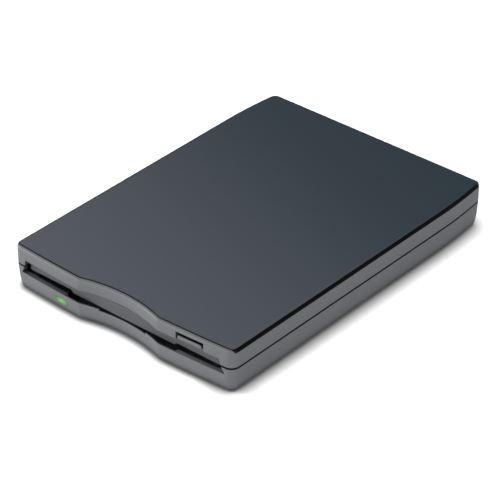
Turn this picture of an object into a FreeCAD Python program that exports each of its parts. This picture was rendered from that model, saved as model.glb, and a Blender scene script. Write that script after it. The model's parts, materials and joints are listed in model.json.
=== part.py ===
"""External 3.5 inch floppy disk drive: a slim drive mechanism inside a two-shell case.

Millimetres. X runs to the right seen from the front, Y from the front to the rear, Z up.
The origin is the centre of the drive's outline on the surface that it stands on.
"""
import FreeCAD, Part
import math
import os

from FreeCAD import Vector

# ---- the disk that everything is built round ----
DISK_WIDTH = 90.0
DISK_LENGTH = 94.0
DISK_HUB_FROM_EDGE = 45.5

# ---- case, outside ----
DISK_SETBACK = 8.0
CASE_SIDE_GAP = 1.4
ELECTRONICS_BAY = 14.0
WALL = 2.2
FLOOR = 1.6
DECK = 1.0
SEAM_HEIGHT = 10.4
SEAM_GAP = 0.5
SEAM_EDGE = 0.2
BOW_RISE = 1.93
FRONT_CORNER = 3.5
REAR_CORNER = 3.0
TAPER_LENGTH = 26.5
TAPER_INSET = 1.8
SMALLEST_ROUND = 0.2
BASE_DRAFT = 0.95
BASE_BEVEL = 0.65
BELLY_HEIGHT = 5.0
BELLY_INSET = 0.35

# ---- finger scoop in the middle of the front ----
SCOOP_HALF = 18.5
SCOOP_DEPTH = 3.0
LIP_RADIUS = 3.0

# ---- top panel ----
PANEL = 1.2
PANEL_FRONT_INSET = 1.1
PANEL_GAP = 0.1
PANEL_ROLL = 1.1
PANEL_FRONT_ROLL = 0.2
PANEL_PROUD = 0.15
RIM_ROLL = 0.9
ROLL_STEPS = 4

# ---- front slot ----
SLOT_BOTTOM = 7.4
SLOT_TOP = 13.2
SLOT_SIDE_CLEAR = 0.5
SLOT_FLARE_SEAM = 0.7
SLOT_FLARE_BOTTOM = 2.2
NOTCH_HALF = 26.0
NOTCH_LIP = 0.8
NOTCH_DEPTH = 2.0
DIP_HALF = 11.0
DIP_DEPTH = 0.7

# ---- seam tongue, screws, feet ----
TONGUE_INSET = 1.15
TONGUE_HEIGHT = 1.2
TONGUE_CLEARANCE = 0.12
FOOT_RADIUS = 4.0
FOOT_THICKNESS = 1.2
FOOT_PROUD = 0.6
FOOT_SIDE_INSET = 11.5
FOOT_FRONT_INSET = 15.5
FOOT_REAR_INSET = 17.5
CASE_SCREW_RADIUS = 0.8
CASE_SCREW_HEAD = 1.5
CASE_SCREW_HEAD_HEIGHT = 1.0
CASE_SCREW_SINK = 0.3
CASE_SCREW_REACH = 2.0
FRONT_BOSS_SIDE_INSET = 3.9
FRONT_BOSS_INSET = 7.5
REAR_BOSS_SIDE_INSET = 11.0
REAR_BOSS_INSET = 7.0
BOSS_RADIUS = 1.9
CLOSE_FIT = 0.05
LOOSE_FIT = 0.1
RIVET_STEP = 0.2

# ---- eject button ----
BUTTON_FROM_SLOT_END = 7.3
BUTTON_WIDTH = 11.0
BUTTON_TOP = 14.95
BUTTON_BOTTOM = 13.35
BUTTON_DEPTH = 2.2
BUTTON_RECESS = 0.15
BUTTON_ROUND = 0.5
BUTTON_SIDE_GAP = 0.3
BUTTON_RIGHT_GAP = 0.7
BUTTON_TOP_GAP = 1.4
BUTTON_LIP = 0.8
BUTTON_LIP_RISE = 0.5

# ---- activity light ----
LENS_FROM_SLOT_END = 18.0
LENS_Z = 4.35
LENS_WIDTH = 6.0
LENS_HEIGHT = 2.0
LENS_FLANGE = 0.6
LENS_FLANGE_MARGIN = 0.5
PIPE_WIDTH = 2.2
PIPE_HEIGHT = 1.4

# ---- rear cable inlet ----
GLAND_X = -20.0
GLAND_RADIUS = 3.0
GLAND_BORE = 2.0
GLAND_FLANGE_RADIUS = 4.2
GLAND_FLANGE = 1.0
GLAND_RECESS = 0.2

# ---- passage for the disk ----
PASSAGE_HEIGHT = 10.0
PASSAGE_CLEAR = 4.4
DISK_DROP = 2.0
EJECT_TRAVEL = 4.0
TRACK_ZERO_RADIUS = 39.5
TRACK_COUNT = 80
TRACK_PITCH = 0.1875
MEDIA_GAP = 0.15

# ---- dust flap ----
FLAP_THICKNESS = 0.8
FLAP_BOTTOM = 9.1
FLAP_TONGUE_BOTTOM = 8.0
FLAP_TONGUE_CLEAR = 1.0
FLAP_TOP_GAP = 0.15
FLAP_SIDE_GAP = 0.9
FLAP_PIN_LENGTH = 1.8
FLAP_EAR_GAP = 0.2
FLAP_EAR_WIDTH = 2.2
FLAP_EAR_MARGIN = 1.0
FLAP_SCOOP_GAP = 0.05
FLAP_SPRING_WALL = 0.35
FLAP_SPRING_RELIEF = 0.3
SPRING_WIRE = 0.3

# ---- drive chassis and cover ----
CHASSIS_SHEET = 0.8
CHASSIS_LIFT = 0.2
CHASSIS_SETBACK = 3.5
CHASSIS_BEHIND_TOWER = 5.0
COVER_SHEET = 0.3
COVER_OVER_SLIDER = 0.3
COVER_GAP = 0.3
COVER_SKIRT = 2.4
POST_RADIUS = 3.0
CHASSIS_SCREW_SIDE_INSET = 15.0
CHASSIS_SCREW_SETBACK = 6.0
CHASSIS_SCREW_REAR_SETBACK = 5.5
SMALL_SCREW_RADIUS = 0.7
SMALL_SCREW_HEAD = 1.5
SMALL_SCREW_HEAD_HEIGHT = 0.9
SMALL_SCREW_LENGTH = 2.0
COVER_SCREW_FRONT_SETBACK = 20.0
COVER_SCREW_REAR_SETBACK = 17.5
COVER_SCREW_HEAD = 1.1
COVER_SCREW_HEAD_HEIGHT = 0.4
COVER_SCREW_DROP = 1.2

# ---- disk holder, slider ----
HOLDER_SHEET = 0.5
HOLDER_SIDE_CLEAR = 0.2
HOLDER_SETBACK = 1.2
HOLDER_REAR_CLEAR = 1.0
HOLDER_FLANGE = 5.5
HOLDER_FLANGE_SETBACK = 13.5
HOLDER_STOP_INSET = 12.0
HOLDER_STOP_WIDTH = 10.0
HOLDER_WINDOW_HALF = 9.0
HOLDER_WINDOW_CLEAR = 5.7
SIDE_GAP = 0.4
PIN_RADIUS = 0.8
PIN_FRONT_SETBACK = 17.5
PIN_REAR_SETBACK = 8.5
SLIDER_SHEET = 0.6
SLIDER_OVER_LEVER = 0.35
SLIDER_SETBACK = 2.5
SLIDER_BAR_DEPTH = 11.0
SLIDER_RAIL_WIDTH = 13.0
SLIDER_WALL_SETBACK = 5.0
SLIDER_WALL_REAR_SETBACK = 0.5
SLIDER_WALL_BOTTOM = 6.6
SLIDER_BEHIND_DISK = 15.6
TONGUE_SIDE_INSET = 2.5
TONGUE_SOCKET_DEPTH = 1.4
TONGUE_DROP = 0.6
TONGUE_RISER = 5.0

# ---- eject springs ----
SPRING_SIDE_INSET = 4.7
SPRING_Z = 11.0
SPRING_TAB_WIDTH = 3.0
SPRING_TAB_BEHIND_DISK = 5.5
SPRING_TAB_MARGIN = 1.3
SPRING_COIL_RADIUS = 1.2
SPRING_END_GAP = 0.9
SPRING_HOOK_HOLE = 0.45
SPRING_COILS = 9

# ---- shutter lever ----
LEVER_SIDE_INSET = 11.0
LEVER_REAR_INSET = 4.5
LEVER_STOP_X = 8.0
LEVER_START = -50.0
LEVER_SWEEP = 55.0
LEVER_SHEET = 0.5
LEVER_WIDTH = 5.0
LEVER_LIFT = 0.35
LEVER_FINGER_RADIUS = 1.0
LEVER_NOSE_RADIUS = 1.5
LEVER_FINGER_DEPTH = 3.0
LEVER_PIVOT_RADIUS = 1.2
LEVER_RIVET_HEAD = 0.3
LEVER_SLOT_MARGIN = 0.3
LEVER_SPRING_INNER = 1.5
LEVER_SPRING_WIRE = 0.25

# ---- spindle motor ----
BOARD_THICKNESS = 0.8
BOARD_SIDE_GAP = 2.1
BOARD_NOTCH_HALF = 14.5
BOARD_NOTCH_CLEAR = 0.7
COIL_HEIGHT = 0.9
COIL_COUNT = 9
COIL_INNER = 10.5
COIL_OUTER = 19.5
COIL_ANGLE = 30.0
ROTOR_RADIUS = 21.0
ROTOR_SHEET = 0.6
ROTOR_Z = 5.5
MAGNET_HEIGHT = 0.4
MAGNET_INNER = 12.0
HUB_RADIUS = 12.0
HUB_HEIGHT = 0.8
SHAFT_RADIUS = 2.0
SHAFT_TOP = 8.0
DRIVE_PIN_RADIUS = 1.0
DRIVE_PIN_OFFSET = 9.0
DRIVE_PIN_TOP = 7.9
BEARING_RADIUS = 4.0
BEARING_TOP = 5.2

# ---- head carriage ----
CARRIAGE_HALF = 9.0
CARRIAGE_BOTTOM = 3.6
CARRIAGE_DECK = 5.2
CARRIAGE_NOSE = 3.0
NOSE_HALF = 4.0
NOSE_LENGTH = 6.0
NOSE_TOP = 6.0
TOWER_BEFORE_PIVOT = 1.7
TOWER_DEPTH = 5.2
TOWER_HALF = 8.3
TOWER_TOP = 11.6
CHEEK = 2.8
ARM_PIVOT_Z = 10.5
ARM_PIN_RADIUS = 0.75
ARM_SHEET = 0.6
ARM_HALF = 3.2
ARM_WING_HALF = 5.0
ARM_WING_LENGTH = 7.0
ARM_BARREL = 1.2
ARM_HEAD_OVERHANG = 1.6
HEAD_HALF = 1.7
HEAD_LENGTH = 3.2
HEAD_LIFT = 3.95
ARM_SPRING_WIRE = 0.3
ROD_Z = 4.7
GUIDE_ROD_X = -11.0
GUIDE_ROD_RADIUS = 1.0
SUPPORT_ROD_X = 11.0
SUPPORT_ROD_RADIUS = 0.75
ROD_BEFORE_HEAD = 12.5
ROD_BEHIND_TOWER = 2.5
CLAMP_LENGTH = 2.0
CLAMP_HALF = 1.7
BUSH_HALF = 1.8
BUSH_BOTTOM = 3.5
BUSH_TOP = 5.9
BUSH_LENGTH = 4.0
BUSH_FRONT_FROM_HEAD = 5.8

# ---- stepper and lead screw ----
SCREW_X = 17.0
SCREW_Z = 8.9
SCREW_RADIUS = 1.4
SCREW_LEAD = 3.75
SCREW_GROOVE = 0.55
SCREW_BEHIND_HOLDER = 0.9
SCREW_END_CLEAR = 0.9875
SCREW_JOURNAL = 0.6
SCREW_EAR = 0.8
FOLLOWER_RADIUS = 0.35
FOLLOWER_DIP = 0.35
FOLLOWER_BLOCK = 1.6
STEPPER_BEHIND_PIVOT = 1.5
STEPPER_LENGTH = 6.9
STEPPER_RADIUS = 4.9
BRACKET_HALF = 3.5
BRACKET_FOOT = 3.4
BRACKET_SCREW_INSET = 4.0

# ---- sensing ----
SWITCH_SIZE = 5.0
SWITCH_HEIGHT = 2.0
SWITCH_Y_FROM_EDGE = 6.0
CORNER_SWITCH_INSET = 3.8
DISK_SWITCH_INSET = 10.5
PLUNGER_RADIUS = 0.8
PLUNGER_TRAVEL = 1.0
PLUNGER_TOP = 7.3
PLUNGER_HOLD = 0.85
SENSOR_BASE = 1.0
SENSOR_X = -16.6
SENSOR_SLIT = 1.2
SENSOR_TOWER = 1.0
SENSOR_LENGTH = 4.0
SENSOR_TOP = 7.6
FLAG_THICKNESS = 0.6
FLAG_BAR_Z = 8.2
FLAG_BAR_HEIGHT = 0.8
FLAG_DROP = 2.6
HALL_SIZE = 2.4
HALL_HEIGHT = 1.0
HALL_GAP = 0.8

# ---- electronics ----
CHIP_HEIGHT = 1.3
CHIP_SIDE = 11.0
CHIP_X = 30.0
CHIP_BEHIND_SPINDLE = 3.0
SMALL_CHIP_SIDE = 6.0
SMALL_CHIP_BEFORE_SPINDLE = 23.0
FLAT_CABLE_LEFT_INSET = 1.5
FLAT_CABLE_RIGHT = -20.0
FLAT_CABLE_THICKNESS = 0.25
CONNECTOR_MARGIN = 1.0
CONNECTOR_DEPTH = 4.5
CONNECTOR_HEIGHT = 2.0
CONNECTOR_TOP_SKIN = 0.3
INTERFACE_BOSS_GAP = 1.1
INTERFACE_RIGHT = 30.0
INTERFACE_FRONT_GAP = 1.7
INTERFACE_REAR_GAP = 0.6
INTERFACE_Z = 4.2
INTERFACE_THICKNESS = 0.9
INTERFACE_POST_X = 26.0
INTERFACE_POST_LEFT = -16.5
INTERFACE_POST_RADIUS = 1.8
USB_CHIP_X = 8.0
USB_CHIP_SIDE = 6.0
CRYSTAL_X = 18.5
CRYSTAL_LENGTH = 7.0
CRYSTAL_HALF = 1.6
CRYSTAL_HEIGHT = 3.4
CAPACITOR_XS = (-1.5, 2.0)
CAPACITOR_RADIUS = 1.4
CAPACITOR_HEIGHT = 5.0
HEADER_LEFT = -13.5
HEADER_WIDTH = 9.0
HEADER_DEPTH = 4.2
HEADER_HEIGHT = 4.5
HEADER_WALL = 0.7
FLEX_HALF = 3.0
FLEX_THICKNESS = 0.15
FLEX_GAP = 0.1
FLEX_BEND = 1.2
FLEX_CONNECTOR_HEIGHT = 1.4
FLEX_CONNECTOR_DEPTH = 2.2
LED_WIDTH = 3.0
LED_DEPTH = 1.6
LED_HEIGHT = 1.2
LED_GAP = 0.3

# ---- worked out from the above, across ----
DISK_HALF = DISK_WIDTH / 2
SLOT_HALF_TOP = DISK_HALF + SLOT_SIDE_CLEAR
SLOT_HALF_SEAM = SLOT_HALF_TOP + SLOT_FLARE_SEAM
SLOT_HALF_BOTTOM = SLOT_HALF_TOP + SLOT_FLARE_BOTTOM
HOLDER_INNER = DISK_HALF + HOLDER_SIDE_CLEAR
HOLDER_OUTER = HOLDER_INNER + HOLDER_SHEET
SLIDER_WALL_X = HOLDER_OUTER + SIDE_GAP
SLIDER_OUTER = SLIDER_WALL_X + SLIDER_SHEET
CHASSIS_WALL_X = SLIDER_OUTER + SIDE_GAP
CHASSIS_HALF = CHASSIS_WALL_X + CHASSIS_SHEET
HALF = CHASSIS_HALF + CASE_SIDE_GAP + WALL
BOARD_HALF = CHASSIS_WALL_X - BOARD_SIDE_GAP
CHASSIS_SCREW_X = BOARD_HALF - CHASSIS_SCREW_SIDE_INSET
LENS_X = LENS_FROM_SLOT_END - SLOT_HALF_TOP
SPRING_X = SLIDER_OUTER - SPRING_SIDE_INSET
LEVER_X = LEVER_SIDE_INSET - DISK_HALF
LEVER_REACH = -LEVER_X - LEVER_STOP_X
BUTTON_RIGHT = SLOT_HALF_TOP - BUTTON_FROM_SLOT_END
BUTTON_LEFT = BUTTON_RIGHT - BUTTON_WIDTH
FLAP_HALF = SLOT_HALF_TOP - FLAP_SIDE_GAP
FLAP_EAR_X = SLOT_HALF_TOP + FLAP_EAR_GAP
FLAP_TONGUE_HALF = NOTCH_HALF - FLAP_TONGUE_CLEAR
PROTECT_SWITCH_X = CORNER_SWITCH_INSET - DISK_HALF
DISK_SWITCH_X = DISK_SWITCH_INSET - DISK_HALF
DENSITY_SWITCH_X = DISK_HALF - CORNER_SWITCH_INSET

# ---- worked out, along: from the disk's loaded place back to the rear wall, then centred ----
HEAD_TRAVEL = (TRACK_COUNT - 1) * TRACK_PITCH
PIVOT_BEHIND_DISK = HOLDER_REAR_CLEAR + SCREW_BEHIND_HOLDER + SCREW_EAR + SCREW_END_CLEAR + HEAD_TRAVEL
TOWER_BEHIND_PIVOT = TOWER_DEPTH - TOWER_BEFORE_PIVOT
LENGTH = (DISK_SETBACK + DISK_LENGTH + PIVOT_BEHIND_DISK + TOWER_BEHIND_PIVOT + CHASSIS_BEHIND_TOWER
          + ELECTRONICS_BAY)
FRONT = -LENGTH / 2
REAR = LENGTH / 2
DISK_FRONT = FRONT + DISK_SETBACK
DISK_REAR = DISK_FRONT + DISK_LENGTH
SPINDLE_Y = DISK_REAR - DISK_HUB_FROM_EDGE
HEAD_Y = SPINDLE_Y + TRACK_ZERO_RADIUS
ARM_PIVOT_Y = DISK_REAR + PIVOT_BEHIND_DISK
ARM_REACH = ARM_PIVOT_Y - HEAD_Y
ARM_ANGLE = math.degrees(math.asin(HEAD_LIFT / ARM_REACH))
TOWER_Y = ARM_PIVOT_Y - TOWER_BEFORE_PIVOT
TOWER_REAR = ARM_PIVOT_Y + TOWER_BEHIND_PIVOT
CHASSIS_FRONT = DISK_FRONT + CHASSIS_SETBACK
CHASSIS_REAR = TOWER_REAR + CHASSIS_BEHIND_TOWER
CHASSIS_SCREW_FRONT = CHASSIS_FRONT + CHASSIS_SCREW_SETBACK
CHASSIS_SCREW_REAR = CHASSIS_REAR - CHASSIS_SCREW_REAR_SETBACK
COVER_SCREW_YS = (CHASSIS_FRONT + COVER_SCREW_FRONT_SETBACK, CHASSIS_REAR - COVER_SCREW_REAR_SETBACK)
HOLDER_FRONT = DISK_FRONT + HOLDER_SETBACK
HOLDER_REAR = DISK_REAR + HOLDER_REAR_CLEAR
HOLDER_FLANGE_FRONT = DISK_FRONT + HOLDER_FLANGE_SETBACK
HOLDER_WINDOW_FRONT = HEAD_Y - HEAD_TRAVEL - HOLDER_WINDOW_CLEAR
PIN_YS = (DISK_FRONT + PIN_FRONT_SETBACK, DISK_REAR - PIN_REAR_SETBACK)
SLIDER_FRONT = DISK_FRONT + SLIDER_SETBACK
SLIDER_WALL_FRONT = SLIDER_FRONT + SLIDER_WALL_SETBACK
SLIDER_WALL_REAR = DISK_REAR - SLIDER_WALL_REAR_SETBACK
SLIDER_REAR = DISK_REAR + SLIDER_BEHIND_DISK
SPRING_TAB_Y = DISK_REAR + SPRING_TAB_BEHIND_DISK
LEVER_Y = DISK_REAR - LEVER_REAR_INSET
BOARD_REAR = DISK_REAR
BOARD_NOTCH_FRONT = HEAD_Y - HEAD_TRAVEL - CARRIAGE_NOSE - BOARD_NOTCH_CLEAR
ROD_FRONT = HEAD_Y - ROD_BEFORE_HEAD
ROD_REAR = TOWER_REAR + ROD_BEHIND_TOWER
SCREW_FRONT = HOLDER_REAR + SCREW_BEHIND_HOLDER
STEPPER_Y = ARM_PIVOT_Y + STEPPER_BEHIND_PIVOT
SWITCH_Y = DISK_FRONT + SWITCH_Y_FROM_EDGE
INSIDE_REAR = REAR - WALL
INTERFACE_FRONT = CHASSIS_REAR + INTERFACE_FRONT_GAP
INTERFACE_REAR = INSIDE_REAR - INTERFACE_REAR_GAP
INTERFACE_MIDDLE = (INTERFACE_FRONT + INTERFACE_REAR) / 2

# ---- worked out, upward ----
BASE = FOOT_PROUD
FLOOR_TOP = BASE + FLOOR
LOWER_TOP = SEAM_HEIGHT - SEAM_GAP / 2
UPPER_BOTTOM = SEAM_HEIGHT + SEAM_GAP / 2
CASE_SCREW_SEAT = BASE + CASE_SCREW_SINK + CASE_SCREW_HEAD_HEIGHT
CASE_SCREW_TIP = UPPER_BOTTOM + CASE_SCREW_REACH
PASSAGE_BOTTOM = PASSAGE_HEIGHT - PASSAGE_CLEAR / 2
PASSAGE_TOP = PASSAGE_HEIGHT + PASSAGE_CLEAR / 2
MEDIA_Z = PASSAGE_HEIGHT - DISK_DROP
PIN_Z = PASSAGE_HEIGHT
HOLDER_BOTTOM = PASSAGE_BOTTOM - HOLDER_SHEET
HOLDER_TOP = PASSAGE_TOP + HOLDER_SHEET
LEVER_Z = HOLDER_TOP + LEVER_LIFT
LEVER_HEAD_Z = LEVER_Z + LEVER_SHEET + LOOSE_FIT
SLIDER_Z = LEVER_HEAD_Z + LEVER_RIVET_HEAD + SLIDER_OVER_LEVER
SLIDER_TOP = SLIDER_Z + SLIDER_SHEET
COVER_Z = SLIDER_TOP + COVER_OVER_SLIDER
DECK_Z = COVER_Z + COVER_SHEET + COVER_GAP
PANEL_Z = DECK_Z + DECK
HEIGHT = PANEL_Z + PANEL
RIM_TOP = HEIGHT - PANEL_PROUD
CHASSIS_Z = FLOOR_TOP + CHASSIS_LIFT
CHASSIS_TOP = CHASSIS_Z + CHASSIS_SHEET
BOARD_Z = CHASSIS_TOP
BOARD_TOP = BOARD_Z + BOARD_THICKNESS
INTERFACE_TOP = INTERFACE_Z + INTERFACE_THICKNESS

# ---- worked out, the outline and what follows it ----
BOW_RADIUS = (HALF ** 2 + BOW_RISE ** 2) / (2 * BOW_RISE)
BOW_APEX = FRONT - BOW_RISE * (SCOOP_HALF / HALF) ** 2
SCOOP_RADIUS = (SCOOP_HALF ** 2 + SCOOP_DEPTH ** 2) / (2 * SCOOP_DEPTH)
SCOOP_FLOOR = FRONT + SCOOP_DEPTH
TAPER_RADIUS = TAPER_LENGTH ** 2 / (2 * TAPER_INSET)
TAPER_START = REAR - TAPER_LENGTH
FLAP_FRONT = SCOOP_FLOOR - FLAP_SCOOP_GAP
FLAP_AXIS_Y = FLAP_FRONT + FLAP_THICKNESS / 2
FLAP_AXIS_Z = SLOT_TOP - FLAP_TOP_GAP - FLAP_THICKNESS / 2
FRONT_BOSSES = (HALF - FRONT_BOSS_SIDE_INSET, FRONT + FRONT_BOSS_INSET)
REAR_BOSSES = (HALF - REAR_BOSS_SIDE_INSET, REAR - REAR_BOSS_INSET)
FOOT_X = HALF - FOOT_SIDE_INSET
FEET = ((FOOT_X, FRONT + FOOT_FRONT_INSET), (FOOT_X, REAR - FOOT_REAR_INSET))
INTERFACE_LEFT = INTERFACE_BOSS_GAP + BOSS_RADIUS - REAR_BOSSES[0]
FLAT_CABLE_LEFT = INTERFACE_LEFT + FLAT_CABLE_LEFT_INSET
FAR = LENGTH


# ---- small helpers ----

def box(x0, x1, y0, y1, z0, z1):
    """A block between two corners."""
    return Part.makeBox(x1 - x0, y1 - y0, z1 - z0, Vector(x0, y0, z0))


def rod_x(radius, x0, x1, y, z):
    """A cylinder along X."""
    return Part.makeCylinder(radius, x1 - x0, Vector(x0, y, z), Vector(1, 0, 0))


def rod_y(radius, y0, y1, x, z):
    """A cylinder along Y."""
    return Part.makeCylinder(radius, y1 - y0, Vector(x, y0, z), Vector(0, 1, 0))


def rod_z(radius, z0, z1, x, y):
    """A cylinder along Z."""
    return Part.makeCylinder(radius, z1 - z0, Vector(x, y, z0))


def mirrored(shape):
    """The same shape on the other side of the drive's middle plane."""
    return shape.mirror(Vector(0, 0, 0), Vector(1, 0, 0))


def both_sides(shape):
    """A list of the shape and its mirror image."""
    return [shape, mirrored(shape)]


def joined(base, *others):
    """One solid from several that touch or overlap."""
    return base.fuse(list(others)).removeSplitter()


def group(solids):
    """Separate solids kept in one node."""
    return Part.Compound(list(solids))


def plate(points, axis, depth):
    """A flat polygon pushed along an axis."""
    face = Part.Face(Part.makePolygon(list(points) + [points[0]]))
    return face.extrude(axis * depth)


def stadium_x(x0, x1, start, end, radius):
    """A slot with round ends, cut along X, from start to end, each (y, z)."""
    run = Vector(0, end[0] - start[0], end[1] - start[1])
    length = run.Length
    run.normalize()
    side = Vector(0, -run.z, run.y) * radius
    a = Vector(x0, start[0], start[1])
    b = a + run * length
    middle = plate([a - side, b - side, b + side, a + side], Vector(1, 0, 0), x1 - x0)
    return joined(middle, rod_x(radius, x0, x1, *start), rod_x(radius, x0, x1, *end))


def write(name, shape):
    """Write one node's STEP file."""
    shape.exportStep("parts/" + name + ".step")


# ---- the outline that both shells and the panel share ----

def meeting_point(y_one, radius_one, y_two, radius_two, z):
    """Right-hand crossing of two circles whose centres lie on x = 0."""
    y = (radius_one ** 2 - radius_two ** 2 - y_one ** 2 + y_two ** 2) / (2 * (y_two - y_one))
    return Vector(math.sqrt(radius_one ** 2 - (y - y_one) ** 2), y, z)


def toward(centre, point, radius):
    """The point at the radius from centre, in the direction of point."""
    way = point - centre
    way.normalize()
    return centre + way * radius


def arc_about(centre, start, end):
    """The short arc from start to end about a centre."""
    middle = toward(centre, (start + end) * 0.5, (start - centre).Length)
    return Part.Arc(start, middle, end).toShape()


def flip(point):
    """A point's mirror image across x = 0."""
    return Vector(-point.x, point.y, point.z)


def outline(front_inset, side_inset, z):
    """Plan outline: bowed front with a scoop, round corners, sides that draw in at the rear."""
    half = HALF - side_inset
    rear = REAR - side_inset
    bow_centre = Vector(0, BOW_APEX + BOW_RADIUS, z)
    bow_radius = BOW_RADIUS - front_inset
    scoop_centre = Vector(0, SCOOP_FLOOR - SCOOP_RADIUS, z)
    scoop_radius = SCOOP_RADIUS + front_inset
    lip = max(LIP_RADIUS - front_inset, SMALLEST_ROUND)
    corner = max(FRONT_CORNER - side_inset, SMALLEST_ROUND)
    rear_round = max(REAR_CORNER - side_inset, SMALLEST_ROUND)
    taper_centre = Vector(HALF - TAPER_RADIUS, TAPER_START, z)
    taper_radius = TAPER_RADIUS - side_inset

    lip_centre = meeting_point(bow_centre.y, bow_radius - lip, scoop_centre.y, scoop_radius + lip, z)
    lip_in = toward(scoop_centre, lip_centre, scoop_radius)
    lip_out = toward(bow_centre, lip_centre, bow_radius)
    corner_y = bow_centre.y - math.sqrt((bow_radius - corner) ** 2 - (half - corner) ** 2)
    corner_centre = Vector(half - corner, corner_y, z)
    corner_in = toward(bow_centre, corner_centre, bow_radius)
    corner_out = Vector(half, corner_y, z)
    side_end = Vector(half, TAPER_START, z)
    rear_y = rear - rear_round
    rear_x = taper_centre.x + math.sqrt((taper_radius - rear_round) ** 2 - (rear_y - TAPER_START) ** 2)
    rear_centre = Vector(rear_x, rear_y, z)
    rear_in = toward(taper_centre, rear_centre, taper_radius)
    rear_out = Vector(rear_x, rear, z)

    right = [
        arc_about(lip_centre, lip_in, lip_out),
        arc_about(bow_centre, lip_out, corner_in),
        arc_about(corner_centre, corner_in, corner_out),
        Part.makeLine(corner_out, side_end),
        arc_about(taper_centre, side_end, rear_in),
        arc_about(rear_centre, rear_in, rear_out),
    ]
    rear_line = Part.makeLine(rear_out, flip(rear_out))
    left = [
        arc_about(flip(rear_centre), flip(rear_out), flip(rear_in)),
        arc_about(flip(taper_centre), flip(rear_in), flip(side_end)),
        Part.makeLine(flip(side_end), flip(corner_out)),
        arc_about(flip(corner_centre), flip(corner_out), flip(corner_in)),
        arc_about(bow_centre, flip(corner_in), flip(lip_out)),
        arc_about(flip(lip_centre), flip(lip_out), flip(lip_in)),
    ]
    scoop = arc_about(scoop_centre, flip(lip_in), lip_in)
    return Part.Wire(right + [rear_line] + left + [scoop])


def slab(front_inset, side_inset, z0, z1):
    """A straight-walled solid over the outline."""
    return Part.Face(outline(front_inset, side_inset, z0)).extrude(Vector(0, 0, z1 - z0))


def form(sections):
    """A solid through outlines at several heights, each (front inset, side inset, z)."""
    return Part.makeLoft([outline(*section) for section in sections], True, True)


def rolled(radius, top):
    """Sections up a rounded top edge, each (how far it draws in, z)."""
    quarter = [math.radians(90 * step / ROLL_STEPS) for step in range(ROLL_STEPS + 1)]
    return [(radius * (1 - math.cos(turn)), top - radius * (1 - math.sin(turn))) for turn in quarter]


def bow_y(x):
    """Where the front face lies at a place along the bow."""
    return BOW_APEX + BOW_RADIUS - math.sqrt(BOW_RADIUS ** 2 - x ** 2)


def slot_cut():
    """The disk slot through the front wall, with flared ends."""
    depth = SCOOP_DEPTH + WALL + LIP_RADIUS
    points = [
        (-SLOT_HALF_TOP, SLOT_TOP),
        (SLOT_HALF_TOP, SLOT_TOP),
        (SLOT_HALF_SEAM, SEAM_HEIGHT),
        (SLOT_HALF_BOTTOM, SLOT_BOTTOM),
        (-SLOT_HALF_BOTTOM, SLOT_BOTTOM),
        (-SLOT_HALF_SEAM, SEAM_HEIGHT),
    ]
    start = FRONT - SCOOP_DEPTH
    return plate([Vector(x, start, z) for x, z in points], Vector(0, 1, 0), depth)


def gland_hole():
    """The round inlet hole that the two rear walls share."""
    return rod_y(GLAND_RADIUS + CLOSE_FIT, INSIDE_REAR - WALL, REAR + WALL, GLAND_X, SEAM_HEIGHT)


# ---- case ----

def make_upper_case():
    """Upper shell: wall, deck under the panel, rim along the front, bosses and flap ears."""
    sections = [(SEAM_EDGE, SEAM_EDGE, UPPER_BOTTOM), (0, 0, UPPER_BOTTOM + SEAM_EDGE)]
    sections += [(inset, inset, z) for inset, z in rolled(RIM_ROLL, RIM_TOP)]
    shell = form(sections)
    shell = shell.cut(slab(PANEL_FRONT_INSET, -FRONT_CORNER, PANEL_Z, HEIGHT + PANEL))
    shell = shell.cut(slab(WALL, WALL, UPPER_BOTTOM - WALL, DECK_Z))
    rebate = slab(TONGUE_INSET - TONGUE_CLEARANCE, TONGUE_INSET - TONGUE_CLEARANCE,
                  UPPER_BOTTOM - WALL, LOWER_TOP + TONGUE_HEIGHT + TONGUE_CLEARANCE)
    behind_front = box(-FAR, FAR, CHASSIS_FRONT - TONGUE_CLEARANCE, FAR, 0, HEIGHT)
    shell = shell.cut(rebate.common(behind_front))
    additions = []
    for x, y in (FRONT_BOSSES, REAR_BOSSES):
        additions += both_sides(rod_z(BOSS_RADIUS, UPPER_BOTTOM, PANEL_Z, x, y))
    ear = box(FLAP_EAR_X, FLAP_EAR_X + FLAP_EAR_WIDTH, FLAP_AXIS_Y - FLAP_EAR_MARGIN,
              FLAP_AXIS_Y + FLAP_EAR_MARGIN, FLAP_AXIS_Z - FLAP_EAR_MARGIN, PANEL_Z)
    additions += both_sides(ear)
    shell = joined(shell, *additions)
    cuts = [slot_cut_above_ears(), button_notch(), gland_hole()]
    for x, y in (FRONT_BOSSES, REAR_BOSSES):
        hole = rod_z(CASE_SCREW_RADIUS + CLOSE_FIT, UPPER_BOTTOM, CASE_SCREW_TIP + CLOSE_FIT, x, y)
        cuts += both_sides(hole)
    pin_reach = FLAP_HALF + FLAP_PIN_LENGTH + LOOSE_FIT
    pin_hole = rod_x(FLAP_THICKNESS / 2 + CLOSE_FIT, FLAP_HALF, pin_reach, FLAP_AXIS_Y, FLAP_AXIS_Z)
    cuts += both_sides(pin_hole)
    relief_radius = FLAP_THICKNESS / 2 + LOOSE_FIT + FLAP_SPRING_WALL + FLAP_SPRING_RELIEF
    relief = rod_x(relief_radius, FLAP_HALF - LOOSE_FIT, FLAP_EAR_X, FLAP_AXIS_Y, FLAP_AXIS_Z)
    cuts += both_sides(relief)
    return shell.cut(cuts)


def slot_cut_above_ears():
    """The slot cut, kept off the flap's ears."""
    ear_keep = box(FLAP_EAR_X, FAR, FLAP_AXIS_Y - FLAP_EAR_MARGIN, FAR,
                   FLAP_AXIS_Z - FLAP_EAR_MARGIN, HEIGHT)
    return slot_cut().cut(both_sides(ear_keep))


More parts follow.
